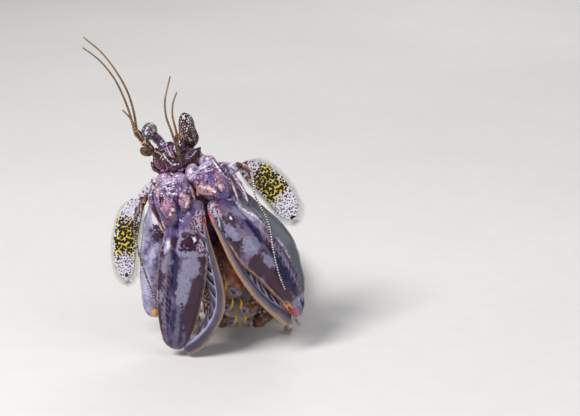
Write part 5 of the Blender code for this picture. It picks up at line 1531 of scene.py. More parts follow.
# The head between the eyes and the claws

BOWL_CENTRE = (-16.5, -3.0, 55.3)
BOWL = {
    "line": ((-23.4, -1.8, 53.9), (-20.8, -3.0, 55.0), (-17.6, -3.4, 55.5), (-14.4, -3.0, 55.7), (-12.2, -2.4, 56.7),
             (-10.7, -1.8, 58.4)),
    "sizes": ((0, 1.8, 1.8), (0.2, 5.4, 5.0), (0.42, 7.8, 6.2), (0.62, 6.0, 5.6), (0.82, 3.2, 3.2), (1, 0.8, 0.9)),
    "ribs": (
        ((-5.1, 3.2), (-3.7, 1.5), (-2.1, -0.6), (-1.4, -1.5), (-0.2, -1.3), (1.3, -1.05)),
        ((-4.2, 3.8), (-3.0, 2.2), (-1.9, 0.9)),
        ((-3.4, 4.2), (-2.4, 2.4), (-1.3, 0.5)),
        ((-2.5, 4.6), (-1.6, 2.4), (-0.7, 0.5)),
        ((-1.5, 5.2), (-0.7, 3.0), (0.3, 1.4)),
        ((-0.5, 5.2), (0.3, 3.0), (1.0, 1.2)),
        ((2.4, 1.4), (3.3, 2.1), (4.2, 3.0)),
        ((2.9, 0.4), (4.0, 1.2), (4.9, 2.3)),
    ),
    "rib_marks": ("white", "rose", "white", "rose", "white", "rose", "rose", "white"),
    "ink": ((-1.4, 0.05, 1.0, 0.8), (-3.2, 2.9, 0.3, 1.5, 34), (-2.4, 1.6, 0.3, 1.2, 30), (-0.9, 1.7, 0.26, 1.3, 24),
            (-4.4, 2.2, 0.3, 1.2, 38), (2.3, 3.1, 0.9, 0.7), (1.9, 1.9, 0.5, 0.7), (5.2, 1.6, 0.4, 1.3, -34),
            (0.7, 3.6, 0.22, 1.2, 20), (3.6, 1.4, 0.3, 0.7, -50), (-5.9, -2.6, 0.5, 1.3, 40), (-4.2, -3.7, 1.4, 0.34, -14)),
    "maroon": ((-4.3, -0.3, 1.9, 2.1), (3.6, -0.4, 2.6, 0.8, 34), (-2.2, -2.6, 1.4, 0.9)),
    "plum": ((-1.0, -2.7, 2.6, 1.6), (-4.6, -2.4, 1.4, 0.9, -30), (1.6, -2.4, 1.6, 1.4)),
    "violet": ((-2.8, 3.0, 0.26, 1.2, 30), (-0.2, 2.6, 0.24, 1.1, 24), (-1.9, 3.3, 0.22, 1.0, 26), (3.1, 1.0, 0.3, 0.8, -50)),
    "gold": ((-3.9, 3.5, 0.3, 0.24), (-1.1, 0.7, 0.3, 0.2), (-0.9, 4.2, 0.3, 0.22), (-4.6, -3.6, 1.3, 0.12, -18)),
    "rims": (((-6.3, 0.6), (-5.9, -1.0), (-5.0, -2.3), (-3.6, -2.7)), ((-2.9, -1.2), (-2.7, -2.4), (-3.4, -3.1))),
}


def make_bowl():
    """The ribbed collar under the eyes, with its ribs, hollows and marks laid out as seen from in front."""
    bowl = limb(BOWL["line"], BOWL["sizes"], FRONT, 220, 200, (0.1, 0.1))
    across, up = seen(bowl.place, BOWL_CENTRE)
    before = step_up(bowl.front, -0.1, 0.3)
    height = 0.26 * clouds(bowl.place, 1.3, 21) + 0.1 * clouds(bowl.place, 0.5, 25)
    for path in (*BOWL["ribs"], *BOWL["rims"]):
        height = height + ridge_along(across, up, path, 0.2, 0.34) * before
    height = height + 0.7 * step_up(spots(across, up, BOWL["maroon"][:1]), -0.2, 1.2) * before
    height = height - 0.6 * step_up(spots(across, up, BOWL["ink"][:1]), -0.2, 0.5) * before
    bowl.raised(height)
    facing = np.where(bowl.front > -0.1, 0, OUTSIDE)
    for mark in ("ink", "maroon", "plum", "violet", "gold"):
        bowl.paint(**{mark: spots(across, up, BOWL[mark]) + facing})
    for path, mark in zip(BOWL["ribs"], BOWL["rib_marks"]):
        bowl.paint(**{mark: streak(across, up, path, 0.13) + facing})
        bowl.paint(ink=streak(across - 0.36, up - 0.16, path, 0.17) + facing)
    for path in BOWL["rims"]:
        bowl.paint(rose=streak(across, up, path, 0.12) + facing)
    folds = []
    for root, middle, tip, thick, mark in COLLAR_FOLDS:
        fold = limb((root, middle, tip), ((0, thick, thick * 0.8), (0.5, thick, thick * 0.9), (1, thick * 0.3, thick * 0.3)),
                    FRONT, 60, 40, (0.1, 0.05))
        fold.raised(0.14 * clouds(fold.place, 1.0, 53))
        fold.paint(**{mark: 0.6, "ink": -0.05 - fold.u * 0.4, "rose": (0.06 - np.abs(fold.u - 0.8) * 0.6)})
        folds.append(fold)
    put("collar", "antennule_ring", "head", bowl, *folds)


COLLAR_FOLDS = (
    ((-21.4, -2.6, 51.9), (-23.2, -2.4, 53.0), (-24.1, -2.0, 54.6), 1.5, "maroon"),
    ((-20.0, -3.4, 51.2), (-21.6, -3.2, 51.8), (-23.2, -2.6, 53.4), 1.2, "plum"),
    ((-12.4, -2.4, 55.6), (-10.9, -2.2, 57.0), (-10.3, -1.8, 58.7), 1.3, "maroon"),
    ((-14.9, -4.4, 53.6), (-13.2, -4.2, 54.6), (-11.4, -3.2, 56.6), 1.5, "maroon"),
    ((-16.4, -5.2, 52.6), (-15.0, -5.4, 53.0), (-13.6, -5.0, 53.8), 1.4, "plum"),
    ((-21.4, -4.2, 52.3), (-19.4, -5.0, 51.7), (-17.4, -5.2, 51.3), 1.2, "plum"),
)


def make_head():
    """Nose plate, eye carrier, collar and the lip between the wrists."""
    nose_face = body_frame(0.0)[2][0]
    nose = limb((on_body(1.5, 0, 3.6), on_body(-3, 0, 3.1), on_body(-7.0, 0, 2.5)),
                ((0, 5.6, 1.1), (0.5, 5.0, 1.0), (1, 1.6, 0.8)), nose_face, 70, 48, (0.05, 0.2))
    nose.raised(0.2 * hump(nose.u, 0, 0.14) * step_up(nose.front, 0, 0.5))
    nose.paint(rose=0.3 * clouds(nose.place, 1.6, 3) - 0.1, white=0.14 - (1 - np.abs(nose.u)) * nose.width[:, None] / 2,
               plum=0.5 * clouds(nose.place, 2.4, 5))
    put("nose", "nose_plate", "head", nose)
    bar = limb(((-21.4, 0.4, 57.0), (-18.6, 0.6, 57.8), (-15.6, 0.6, 57.6)), ((0, 3.0, 3.0), (0.5, 3.4, 4.0), (1, 3.0, 3.0)),
               FRONT, 60, 56, (0.2, 0.2))
    bar.raised(0.22 * clouds(bar.place, 1.5, 27))
    bar.paint(plum=0.5, white=0.3 * clouds(bar.place, 0.9, 29) - 0.24, ink=0.3 * clouds(bar.place, 1.2, 35) - 0.08)
    put("eye_carrier", "eye_ring", "head", bar)
    make_bowl()
    lip = limb(((-16.6, -2.6, 51.8), (-14.8, -3.0, 50.4), (-13.0, -2.6, 47.6), (-11.6, -0.8, 44.2)),
               ((0, 6.2, 4.4), (0.4, 4.6, 4.6), (0.75, 3.6, 4.6), (1, 3.0, 4.4)), FRONT, 90, 70, (0.1, 0.2))
    lip.raised(0.25 * clouds(lip.place, 1.6, 37) + 0.08 * pebbles(lip.place, 0.7, 39))
    lip.paint(plum=0.5, violet=0.4 * clouds(lip.place, 1.6, 41) + 0.05, rose=0.3 * clouds(lip.place, 1.2, 43) - 0.12,
              ink=0.4 * clouds(lip.place, 1.8, 45) - 0.16)
    put("lip", "upper_lip", "head", lip)


def make_flap():
    """The small clear olive paddle beside the right antennule, with a pale rim."""
    flap = limb(((-23.4, -5.4, 57.4), (-25.2, -6.3, 58.6), (-26.3, -6.9, 60.0)), ((0, 1.2, 0.6), (0.55, 2.7, 0.6), (1, 1.6, 0.5)),
                FRONT, 60, 40, (0.2, 0.3), (1, 0.7))
    edge = (1 - np.abs(flap.u)) * flap.width[:, None] / 2
    flap.paint(white=np.maximum(0.12 - edge, 0.12 - (flap.length - flap.y)), ink=spots(flap.x, flap.y, ((0.1, 1.6, 0.5, 0.9),)))
    build("antennule_flap", [flap], "flap")


# Mouth limbs between the claws

MOUTH_LIMBS = {
    "3_right": (
        (-4.6, 6.5, 33.5), (-6.2, -0.8, 30.6), (-3.8, -4.6, 24.8), (-1.2, -5.6, 20.4), (0.8, -5.6, 17.4),
        (-3.6, -7.4, 20.0), (-3.9, -7.6, 23.4), 3.2),
    "3_left": (
        (-0.6, 7.0, 33.5), (2.6, -0.6, 30.8), (4.4, -3.2, 25.6), (4.8, -3.8, 21.0), (4.2, -4.2, 17.6),
        (6.4, -5.8, 20.6), (6.2, -6.2, 23.4), 3.0),
    "4_right": (
        (-4.4, 9.0, 27.5), (-9.0, 1.6, 25.0), (-8.6, -2.0, 19.0), (-6.6, -3.0, 14.2), (-4.6, -3.2, 11.6),
        (-2.2, -4.8, 14.0), (-2.0, -5.0, 16.4), 3.2),
    "4_left": (
        (2.0, 9.4, 27.5), (7.4, 3.4, 24.6), (7.2, 0.2, 18.6), (4.8, -1.6, 13.8), (2.4, -2.4, 10.8),
        (0.4, -4.0, 13.4), (0.2, -4.2, 15.6), 3.2),
    "5_right": (
        (-4.4, 11.0, 21.5), (-8.4, 6.0, 16.6), (-8.0, 2.6, 11.0), (-5.6, 1.2, 7.4), (-3.2, 0.8, 5.6),
        (-1.4, -0.6, 8.0), (-1.2, -0.8, 10.0), 3.4),
    "5_left": (
        (3.0, 12.0, 21.5), (8.0, 7.4, 16.0), (8.2, 4.4, 10.8), (5.8, 2.6, 7.0), (3.4, 2.0, 5.2),
        (1.4, 0.8, 7.4), (1.2, 0.6, 9.4), 3.4),
}


def make_mouth_limb(name, seed):
    """A bent arm swelling at its joints, a round flat hand with a comb of hairs, and a slender hooked nail."""
    *arm, palm, nail, thick = MOUTH_LIMBS[name]
    foremost = name == "3_right"
    stout = 1.7 if foremost else 1.4
    swollen = lambda skin: (0.22 * hump(skin.t, 0.42, 0.07) - 0.3 * hump(skin.t, 0.53, 0.025)
                            + 0.35 * hump(skin.t, 0.72, 0.1) - 0.25 * hump(skin.t, 0.86, 0.02)
                            + 0.2 * clouds(skin.place, 1.8, seed) + 0.06 * pebbles(skin.place, 0.8, seed))
    stem = limb(arm, ((0, thick, thick), (0.45, thick * (0.4 + 0.6 * stout), thick * stout * 0.8),
                      (0.78, thick * stout, thick * stout * 0.8), (1, thick * 0.8, 2.0)),
                FRONT, 110, 60, (0.03, 0.1), relief=swollen)
    beads = pebbles(stem.place, 0.9, seed + 3)
    row = np.where((stem.t > 0.4) & (stem.t < 0.85) & (stem.front > 0) & (stem.u < 0), 0, OUTSIDE)
    stem.paint(shade=(0.36 - stem.t) * 9, cream=(beads - 0.86) * 1.4 + row,
               mauve=np.maximum(spots(stem.x, stem.y, ((0.3, stem.length * 0.62, 0.8, 1.2),)), 0.3 + row * 0.2 - 0.5))
    if not foremost:
        stem.paint(shade=0.5 * clouds(stem.place, 2.2, seed + 9) + 0.2)
    hand = limb((arm[-1], palm), ((0, 1.8, 1.6), (0.5, 3.0, 1.8), (1, 1.8, 1.3)), FRONT, 50, 44, (0.2, 0.2),
                relief=lambda skin: 0.12 * clouds(skin.place, 1.2, seed + 5))
    hand.paint(grey=0.3 + 0.4 * clouds(hand.place, 1.4, seed + 7), cream=-0.1 - np.abs(hand.u - 0.7),
               ink=spots(hand.x, hand.y, ((0.3, hand.length * 0.55, 0.35, 0.7, 20),)))
    palm, nail = np.asarray(palm), np.asarray(nail)
    hook = limb((palm + (0, 0, -0.8), (palm + nail) / 2 + (0.3, -0.2, 0.1), nail), ((0, 0.9, 0.9), (0.6, 0.6, 0.55), (1, 0.16, 0.16)),
                FRONT, 34, 16, (0, 0.04))
    hook.paint(yellow=0.9, ink=0.1 - (hook.length - hook.y))
    put(f"mouth_hand_{name}", f"mouth_limb_{name}", "belly", stem, hand, hook)
    hairs = [hairs_on(hand, np.linspace(0.2, 0.95, 30), side, 1.1, (1.0, 0.4, lean), 0.07, 0.1, seed, 0.1)
             for side in (0.0, 0.5) for lean in (-0.2, 0.2)]
    hairs.append(hairs_on(stem, np.linspace(0.55, 0.95, 60), 0.02, 0.9, (1.0, 0.5, 0.0), 0.07, 0.1, seed + 1, 0.3))
    build(f"mouth_hairs_{name}", [], "brush", hairs)
    if foremost:
        tuft = [hairs_on(stem, np.linspace(0.16, 0.36, 40), turn, 4.4, (1.0, 0.35, lean), 0.16, 0.2, seed + k, 0.35, 6, 4)
                for k, (turn, lean) in enumerate(((0.2, 0.2), (0.26, -0.1), (0.32, 0.1), (0.15, 0.0), (0.38, -0.2)))]
        build("mouth_tuft", [], "tuft", tuft)


# Trunk

def body_frame(s):
    """Midline points and the directions to the left, to the back and to the tail, at distances s."""
    s = np.atleast_1d(np.asarray(s, float))
    fine, run = traced(BODY_LINE, 400)
    inside = np.clip(s, 1.0, run[-1] - 1.0)
    before, after = (
        np.stack([np.interp(inside + step, run, fine[:, k]) for k in range(3)], 1) for step in (-1.0, 1.0)
    )
    tangent = unit(after - before)
    here = (before + after) / 2 + tangent * (s - inside)[:, None]
    turn = math.radians(BODY_YAW) * np.clip(1 - s / ABDOMEN_START, 0, 1)
    left = np.stack([np.cos(turn), np.sin(turn), np.zeros_like(turn)], 1)
    left = unit(left - (left * tangent).sum(1, keepdims=True) * tangent)
    return here, left, np.cross(left, tangent), tangent


def on_body(s, left, up):
    """The point this far along the midline, to the left of it and above it."""
    here, side, back, _ = body_frame(s)
    return tuple(here[0] + side[0] * left + back[0] * up)


def near_floor(s, left, height):
    """The point that far along the midline and to its left, at this height over the floor."""
    here = on_body(s, left, 0)
    return (here[0], here[1], height)


def body_places(stations, scale, angles, inset=0.0, lift=0.0):
    """Rings of the trunk: a dome above |sin|^0.85, and below it a flat underside between side flaps."""
    here, left, back, _ = body_frame(stations)
    table = np.asarray(BODY_SIZES)
    sizes = smooth(table[:, 0], table[:, 1:], stations) * np.asarray(scale)[:, None]
    half, above, below = sizes.T - inset
    c, s = np.cos(angles)[None], np.sin(angles)[None]
    dome = np.abs(s) ** 0.85
    flat = np.abs(s) ** 0.55 * (1 - 0.3 * (1 - c * c))
    rise = np.where(s > 0, above[:, None] * dome, -below[:, None] * flat) + lift
    across = half[:, None] * np.sign(c) * np.abs(c) ** 0.8
    return here[:, None] + left[:, None] * across[..., None] + back[:, None] * rise[..., None], across


def trunk_skin(stations, scale, angles, inset=0.0):
    place, across = body_places(stations, scale, angles, inset)
    skin = Skin(place, across, stations[:, None])
    skin.u, skin.front = (np.broadcast_to(v[None], across.shape) for v in (np.cos(angles), np.sin(angles)))
    skin.t = np.broadcast_to(((stations - stations[0]) / (stations[-1] - stations[0]))[:, None], across.shape)
    return skin


KEELS = (0.13, 0.22, 0.31, 0.40)


def tergite(name, node, start, end, keels, seed):
    """One back plate: narrow where it slides under the plate before, with a thick dark rear rim."""
    angles = 2 * np.pi * np.arange(132) / 132
    t = along_shares(64, 0.7)
    profile = 0.93 + 0.055 * step_up(t, 0, 0.2) + 0.02 * step_up(t, 0.3, 0.85) + 0.022 * hump(t, 0.93, 0.05) - 0.05 * step_up(t, 0.965, 1.0)
    skin = trunk_skin(start + t * (end - start), profile, angles)
    top = step_up(skin.front, 0.0, 0.3)
    turn = angles[None, :] / np.pi
    rows = sum(hump(turn, share, 0.013) + hump(turn, 1 - share, 0.013) for share in KEELS)
    height = keels * rows * step_up(skin.t, 0.15, 0.35) * top
    height = height + 0.12 * clouds(skin.place, 2.6, seed) + 0.03 * pebbles(skin.place, 0.7, seed)
    height = height - 0.16 * hump(skin.t, 0.24, 0.03) * top
    skin.raised(height)
    x, y, length = np.abs(skin.x), skin.y - start, end - start
    dapple = clouds(skin.place * (1, 1, 0.6), 3.4, seed + 9)
    skin.paint(
        under=(-0.02 - skin.front) * 6,
        dark=np.maximum(dapple * 0.9 - 0.35, 0.55 - np.abs(y - length * 0.86)) + np.where(skin.front > 0, 0, OUTSIDE),
        pale=np.maximum(-dapple * 0.9 - 0.4, spots(x, y, ((length * 0.36, length * 0.45, 1.1, 0.8),))),
        brown=spots(x, y, ((4.6, length * 0.62, 1.5, 1.0), (0.0, length * 0.4, 1.3, 1.0), (9.6, length * 0.5, 1.1, 1.5))),
        gold=0.16 - np.abs(y - length * 0.95) + np.where(skin.front > 0.05, 0, OUTSIDE),
        white=spots(x, y, ((2.0, length * 0.55, 0.5, 0.35), (7.4, length * 0.36, 0.45, 0.4))),
        ink=0.1 - np.abs(y - length * 0.905) + np.where(skin.front > 0.0, 0, OUTSIDE),
    )
    put(name, node, "shell", skin)


def make_trunk():
    """Head shield with its grooves, the body under it, open chest rings and the tail rings."""
    stations = SHIELD_END * along_shares(120, 0.4)
    stations[-1] -= 0.15
    over = np.linspace(-0.10 * np.pi, 1.10 * np.pi, 110)
    ones = np.ones_like(stations)
    rim = 1 + 0.018 * hump(stations, SHIELD_END - 1.0, 0.7)
    outer = trunk_skin(stations, rim, over)
    u, y = outer.u, outer.y
    gullet = 0.26 * (hump(u, 0.42 - 0.1 * outer.t, 0.045) + hump(u, -0.42 + 0.1 * outer.t, 0.045)) * step_up(outer.t, 0.08, 0.2)
    neck = 0.3 * hump(y + 3.4 * u * u, 16.0, 0.5) * (np.abs(u) < 0.9)
    keel = 0.22 * hump(u, 0.0, 0.03) * step_up(outer.t, 0.5, 0.62)
    height = keel - gullet - neck + 0.14 * clouds(outer.place, 3.2, 101) + 0.04 * pebbles(outer.place, 0.8, 103)
    outer.place = outer.place + unit(outer.place - body_frame(stations)[0][:, None]) * height[..., None]
    inner = trunk_skin(stations, ones, over[::-1], 0.6)
    shell = Skin(np.concatenate([outer.place, inner.place], 1), np.concatenate([outer.x, inner.x], 1),
                 np.concatenate([outer.y, inner.y], 1), capped="folded")
    x = np.abs(shell.x)
    inside = np.concatenate([np.zeros(outer.x.shape), np.ones(inner.x.shape)], 1)
    dapple = clouds(shell.place, 3.6, 105)
    shell.paint(
        dark=np.maximum(dapple * 0.9 - 0.3, 0.5 - np.abs(shell.y - SHIELD_END + 1.8)),
        pale=-dapple * 0.9 - 0.45,
        brown=spots(x, shell.y, ((5.0, 10.0, 1.6, 2.4), (3.0, 22.0, 1.4, 2.0), (8.6, 19.0, 1.4, 2.6))),
        white=spots(x, shell.y, ((4.2, 5.0, 0.5, 0.9), (6.6, 14.4, 0.6, 0.5), (2.2, 27.0, 0.6, 0.5))),
        gold=0.2 - np.abs(shell.y - SHIELD_END + 0.6),
        under=inside * 9 - 4.5,
    )
    put("back_shield", "head_shield", "shell", shell)
    core_at = -1.5 + (SHIELD_END - 0.15 + 1.5) * along_shares(90, 0.4)
    core = trunk_skin(core_at, np.ones_like(core_at), 2 * np.pi * np.arange(96) / 96, 0.85)
    folds = 0.18 * np.sin(core.y * 1.35) * step_up(-core.front, 0.1, 0.4)
    core.raised(folds + 0.16 * clouds(core.place, 2.4, 107))
    core.paint(mauve=0.4 * clouds(core.place, 3.0, 109), shade=np.where(core.front < 0, 0.25 - np.abs(np.sin(core.y * 0.675)), OUTSIDE))
    put("chest", "head_and_chest", "belly", core)
    for ring in range(4):
        start = SHIELD_END + ring * THORAX_PITCH
        tergite(f"chest_plate_{ring + 5}", f"chest_ring_{ring + 5}", start - 0.9, start + THORAX_PITCH + 0.35, 0.12, 200 + 11 * ring)
    start = ABDOMEN_START
    for ring, length in enumerate(ABDOMEN_LENGTHS):
        keels = 0.4 if ring == 5 else 0.22
        tergite(f"tail_plate_{ring + 1}", f"tail_ring_{ring + 1}", start - 1.2, start + length + 0.5, keels, 300 + 13 * ring)
        start += length


def make_telson():
    """The tail plate: a domed shield with a middle keel, side ridges, six teeth and rows of denticles."""
    start, length = TELSON_START + 0.15, TELSON_LENGTH
    widths = ((0, 22.0, 4.8), (0.25, 23.5, 4.4), (0.6, 21.5, 3.4), (0.85, 15.5, 2.4), (1, 8.0, 1.8))
    path = [on_body(start + length * share, 0, 0) for share in (0, 0.35, 0.7, 1)]

    def relief(skin):
        top = step_up(skin.front, 0.0, 0.35)
        keel = 0.9 * hump(skin.u, 0, 0.075) * (1 - 0.4 * skin.t) + 0.25 * hump(skin.t, 0.82, 0.05) * hump(skin.u, 0, 0.1)
        ridges = 0.4 * (hump(np.abs(skin.u), 0.36, 0.035) + hump(np.abs(skin.u), 0.68, 0.03)) * step_up(skin.t, 0.1, 0.3)
        pits = -0.12 * hump(pebbles(skin.place, 1.1, 401), 0.95, 0.12)
        return (keel + ridges + pits) * top + 0.1 * clouds(skin.place, 2.0, 403)

    blade = limb(path, widths, UP, 120, 140, (0, 0.06), (0.9, 0.85), relief)
    x, y = np.abs(blade.x), blade.y
    blade.paint(
        under=(-0.1 - blade.front) * 5,
        dark=np.maximum(spots(x, y, ((5.6, 9.0, 1.5, 2.8, -14), (2.2, 15.0, 0.8, 2.0))), 0.4 * clouds(blade.place, 2.6, 405) - 0.2),
        pale=0.4 - (1 - np.abs(blade.u)) * blade.width[:, None] / 2,
        brown=spots(x, y, ((8.4, 5.0, 1.2, 1.8), (1.4, 5.0, 0.8, 2.0))),
        gold=np.where(blade.front > 0, 0.22 - np.minimum(x, np.abs(x - 0.36 * blade.width[:, None] / 2)), OUTSIDE),
        white=spots(x, y, ((3.6, 6.0, 0.5, 0.7), (7.2, 12.4, 0.5, 0.8))),
    )
    teeth = []
    for side in (-1, 1):
        for share, across, reach in ((0.52, 9.6, 5.0), (0.8, 7.2, 5.5), (0.97, 2.6, 4.6)):
            root = np.array(on_body(start + length * share - 3.0, side * across * 0.88, -0.2))
            tip = np.array(on_body(start + length * share + reach, side * across * 1.08, -0.6))
            bow = np.array((side * 0.5, 0, 0))
            tooth = limb((root, (root + tip) / 2 + bow, tip), ((0, 2.9, 2.1), (0.55, 1.7, 1.4), (1, 0.24, 0.24)), UP, 40, 24, (0, 0.03))
            tooth.paint(brown=0.5, gold=(tooth.t - 0.55) * 3, ink=(tooth.t - 0.93) * 4)
            teeth.append(tooth)
        for k in range(9):
            share = 0.62 + 0.038 * k
            at = np.interp(share, (0.62, 0.8, 0.96), (8.9, 6.4, 3.6))
            root = np.array(on_body(start + length * share, side * at, -0.5))
            tip = np.array(on_body(start + length * share + 1.5, side * at * 1.12, -0.7))
            denticle = limb((root, tip), ((0, 0.8, 0.7), (1, 0.15, 0.15)), UP, 10, 10, (0, 0))
            denticle.paint(gold=0.5)
            teeth.append(denticle)
    put("tail_plate_7", "telson", "shell", blade, *teeth)


# Tail fan

def make_uropod(side, hand):
    """A tail fan limb: its base, a forked spine, and two fringed paddles edged with movable spines."""
    start = TELSON_START - 5.5
    at = lambda s, left, up: on_body(start + s, side * left, up)
    low = lambda s, left, height: near_floor(start + s, side * left, height)
    rough = lambda skin: 0.12 * clouds(skin.place, 1.6, 501)
    base = limb((at(0, 9.6, -1.6), at(4, 11.4, -2.4), low(7.5, 12.2, 2.2)),
                ((0, 3.2, 3.0), (0.6, 4.2, 3.2), (1, 3.6, 2.4)), UP, 60, 40, (0.2, 0.2), relief=rough)
    base.paint(dark=0.4 * clouds(base.place, 2.0, 503) - 0.1, pale=0.3 - np.abs(base.y - base.length * 0.8))
    ribbed = lambda skin: (0.16 * hump(skin.u, 0.1, 0.1) - 0.12 * hump(skin.t, 0.6, 0.02)) * step_up(skin.front, 0, 0.5) + 0.05 * clouds(skin.place, 1.4, 505)
    outer = limb((low(5, 12.2, 2.4), low(11, 15.0, 1.2), low(17, 17.2, 0.5), low(22.5, 18.0, 0.35)),
                 ((0, 3.0, 2.0), (0.4, 5.2, 1.6), (0.7, 6.2, 1.1), (1, 4.4, 0.7)), UP, 100, 56, (0.1, 0.2), (0.95, 0.8), ribbed)
    inner = limb((low(5.5, 11.8, 2.0), low(11, 12.6, 0.8), low(16, 12.6, 0.4), low(20.5, 11.8, 0.35)),
                 ((0, 2.4, 1.5), (0.5, 4.0, 1.1), (1, 2.8, 0.7)), UP, 90, 48, (0.1, 0.25), (0.95, 0.8), ribbed)
    for paddle in (outer, inner):
        edge = (1 - np.abs(paddle.u)) * paddle.width[:, None] / 2
        paddle.paint(dark=np.minimum(edge - 0.7, 1.6 - np.abs(paddle.t - 0.8) * 9), pale=0.4 - edge,
                     gold=np.where(paddle is outer, 1.0 - np.abs(paddle.t - 0.45) * 7, OUTSIDE))
    spines = []
    outward = side
    for k in range(9):
        share = 0.28 + 0.042 * k
        here = line_at([low(5, 12.2, 2.4), low(11, 15.0, 1.2), low(17, 17.2, 0.5), low(22.5, 18.0, 0.35)], [share, share + 0.03])
        along = unit(here[1] - here[0])
        root = here[0] + np.array((outward, 0, 0)) * (2.1 + 0.6 * share)
        tip = root + unit(along + np.array((outward * 0.55, 0, 0))) * (1.5 + 1.6 * share)
        thorn = limb((root, tip), ((0, 0.85, 0.75), (1, 0.16, 0.16)), UP, 12, 10, (0, 0))
        thorn.paint(gold=1.0, ink=(thorn.t - 0.8) * 2)
        spines.append(thorn)
    fork = limb((low(4, 11.2, 1.8), low(10, 9.8, 0.7), low(17.5, 8.2, 0.6)), ((0, 2.6, 1.6), (0.5, 1.8, 1.2), (1, 0.3, 0.3)),
                UP, 60, 24, (0, 0.02))
    prong = limb((low(8.4, 10.3, 0.9), low(14.5, 10.2, 0.6)), ((0, 1.5, 1.2), (1, 0.25, 0.25)), UP, 36, 20, (0, 0.02))
    for spike in (fork, prong):
        spike.paint(dark=1.2 - spike.y * 0.3, gold=(spike.t - 0.5) * 4, ink=(spike.t - 0.9) * 5)
    put(f"fan_{hand}", f"tail_fan_{hand}", "fan", base, outer, inner, fork, prong, *spines)
    fringes = []
    for paddle, reach in ((outer, 1.7), (inner, 1.5)):
        for turn, first in ((0.0, 0.62 if (paddle is outer) == (side > 0) else 0.25), (0.5, 0.62 if (paddle is outer) == (side < 0) else 0.25)):
            for lean in (-0.1, 0.12):
                t = np.linspace(first, 0.997, 150)
                fringes.append(hairs_on(paddle, t, turn, reach * step_up(t, first - 0.1, first + 0.25), (0.8, 0.6, lean), 0.09, 0.05, 511, 0.08))
    build(f"fan_fringe_{hand}", [], "brush", fringes)


def make_swimmeret(ring, side, hand):
    """Two thin leaf-like flaps on a short root, fringed with hairs, with a tuft of gill threads."""
    start = ABDOMEN_START + sum(ABDOMEN_LENGTHS[:ring])
    at = lambda s, left, drop: on_body(start + s, side * left, -drop)
    low = lambda s, left, height: near_floor(start + s, side * left, height)
    seed = 600 + 20 * ring + (side > 0)
    root = limb((at(1.8, 6.8, 3.4), at(3.4, 6.8, 5.4)), ((0, 4.0, 2.4), (1, 3.6, 1.6)), FRONT, 24, 32, (0, 0.2))
    veined = lambda skin: 0.05 * clouds(skin.place, 1.2, seed) + 0.05 * np.sin(skin.u * 16) * skin.t
    outer = limb((at(2.4, 8.0, 4.5), low(6.4, 9.2, 1.8), low(10.6, 9.4, 0.3)),
                 ((0, 3.2, 1.2), (0.5, 4.8, 0.8), (1, 3.4, 0.55)), UP, 60, 36, (0.1, 0.2), (0.95, 0.75), veined)
    inner = limb((at(2.4, 5.8, 4.5), low(6.2, 4.6, 1.8), low(10.0, 4.2, 0.3)),
                 ((0, 3.0, 1.2), (0.5, 4.0, 0.8), (1, 2.8, 0.55)), UP, 60, 36, (0.1, 0.2), (0.95, 0.75), veined)
    for leaf in (root, outer, inner):
        leaf.paint(cream=0.9, mauve=0.3 * clouds(leaf.place, 1.8, seed + 3) - 0.05)
    put(f"flap_{ring + 1}_{hand}", f"swimmeret_{ring + 1}_{hand}", "belly", root, outer, inner)
    fringes = []
    for leaf in (outer, inner):
        for turn in (0.0, 0.5):
            t = np.linspace(0.4, 0.997, 80)
            fringes.append(hairs_on(leaf, t, turn, 1.3, (0.8, 0.7, 0.05), 0.08, 0.0, seed, 0.12))
    build(f"flap_fringe_{ring + 1}_{hand}", [], "brush", fringes)
    threads = []
    for k in range(7):
        t = np.full(26, 0.12 + 0.07 * k)
        turn = np.linspace(0.55, 0.95, 26)
        threads.append(hairs_on(outer, t, turn, 1.5 - 0.1 * k, (0.8, 0.2, 0.3), 0.14, -0.3, seed + k, 0.5, 5, 4))
    build(f"gills_{ring + 1}_{hand}", [], "gill", threads)


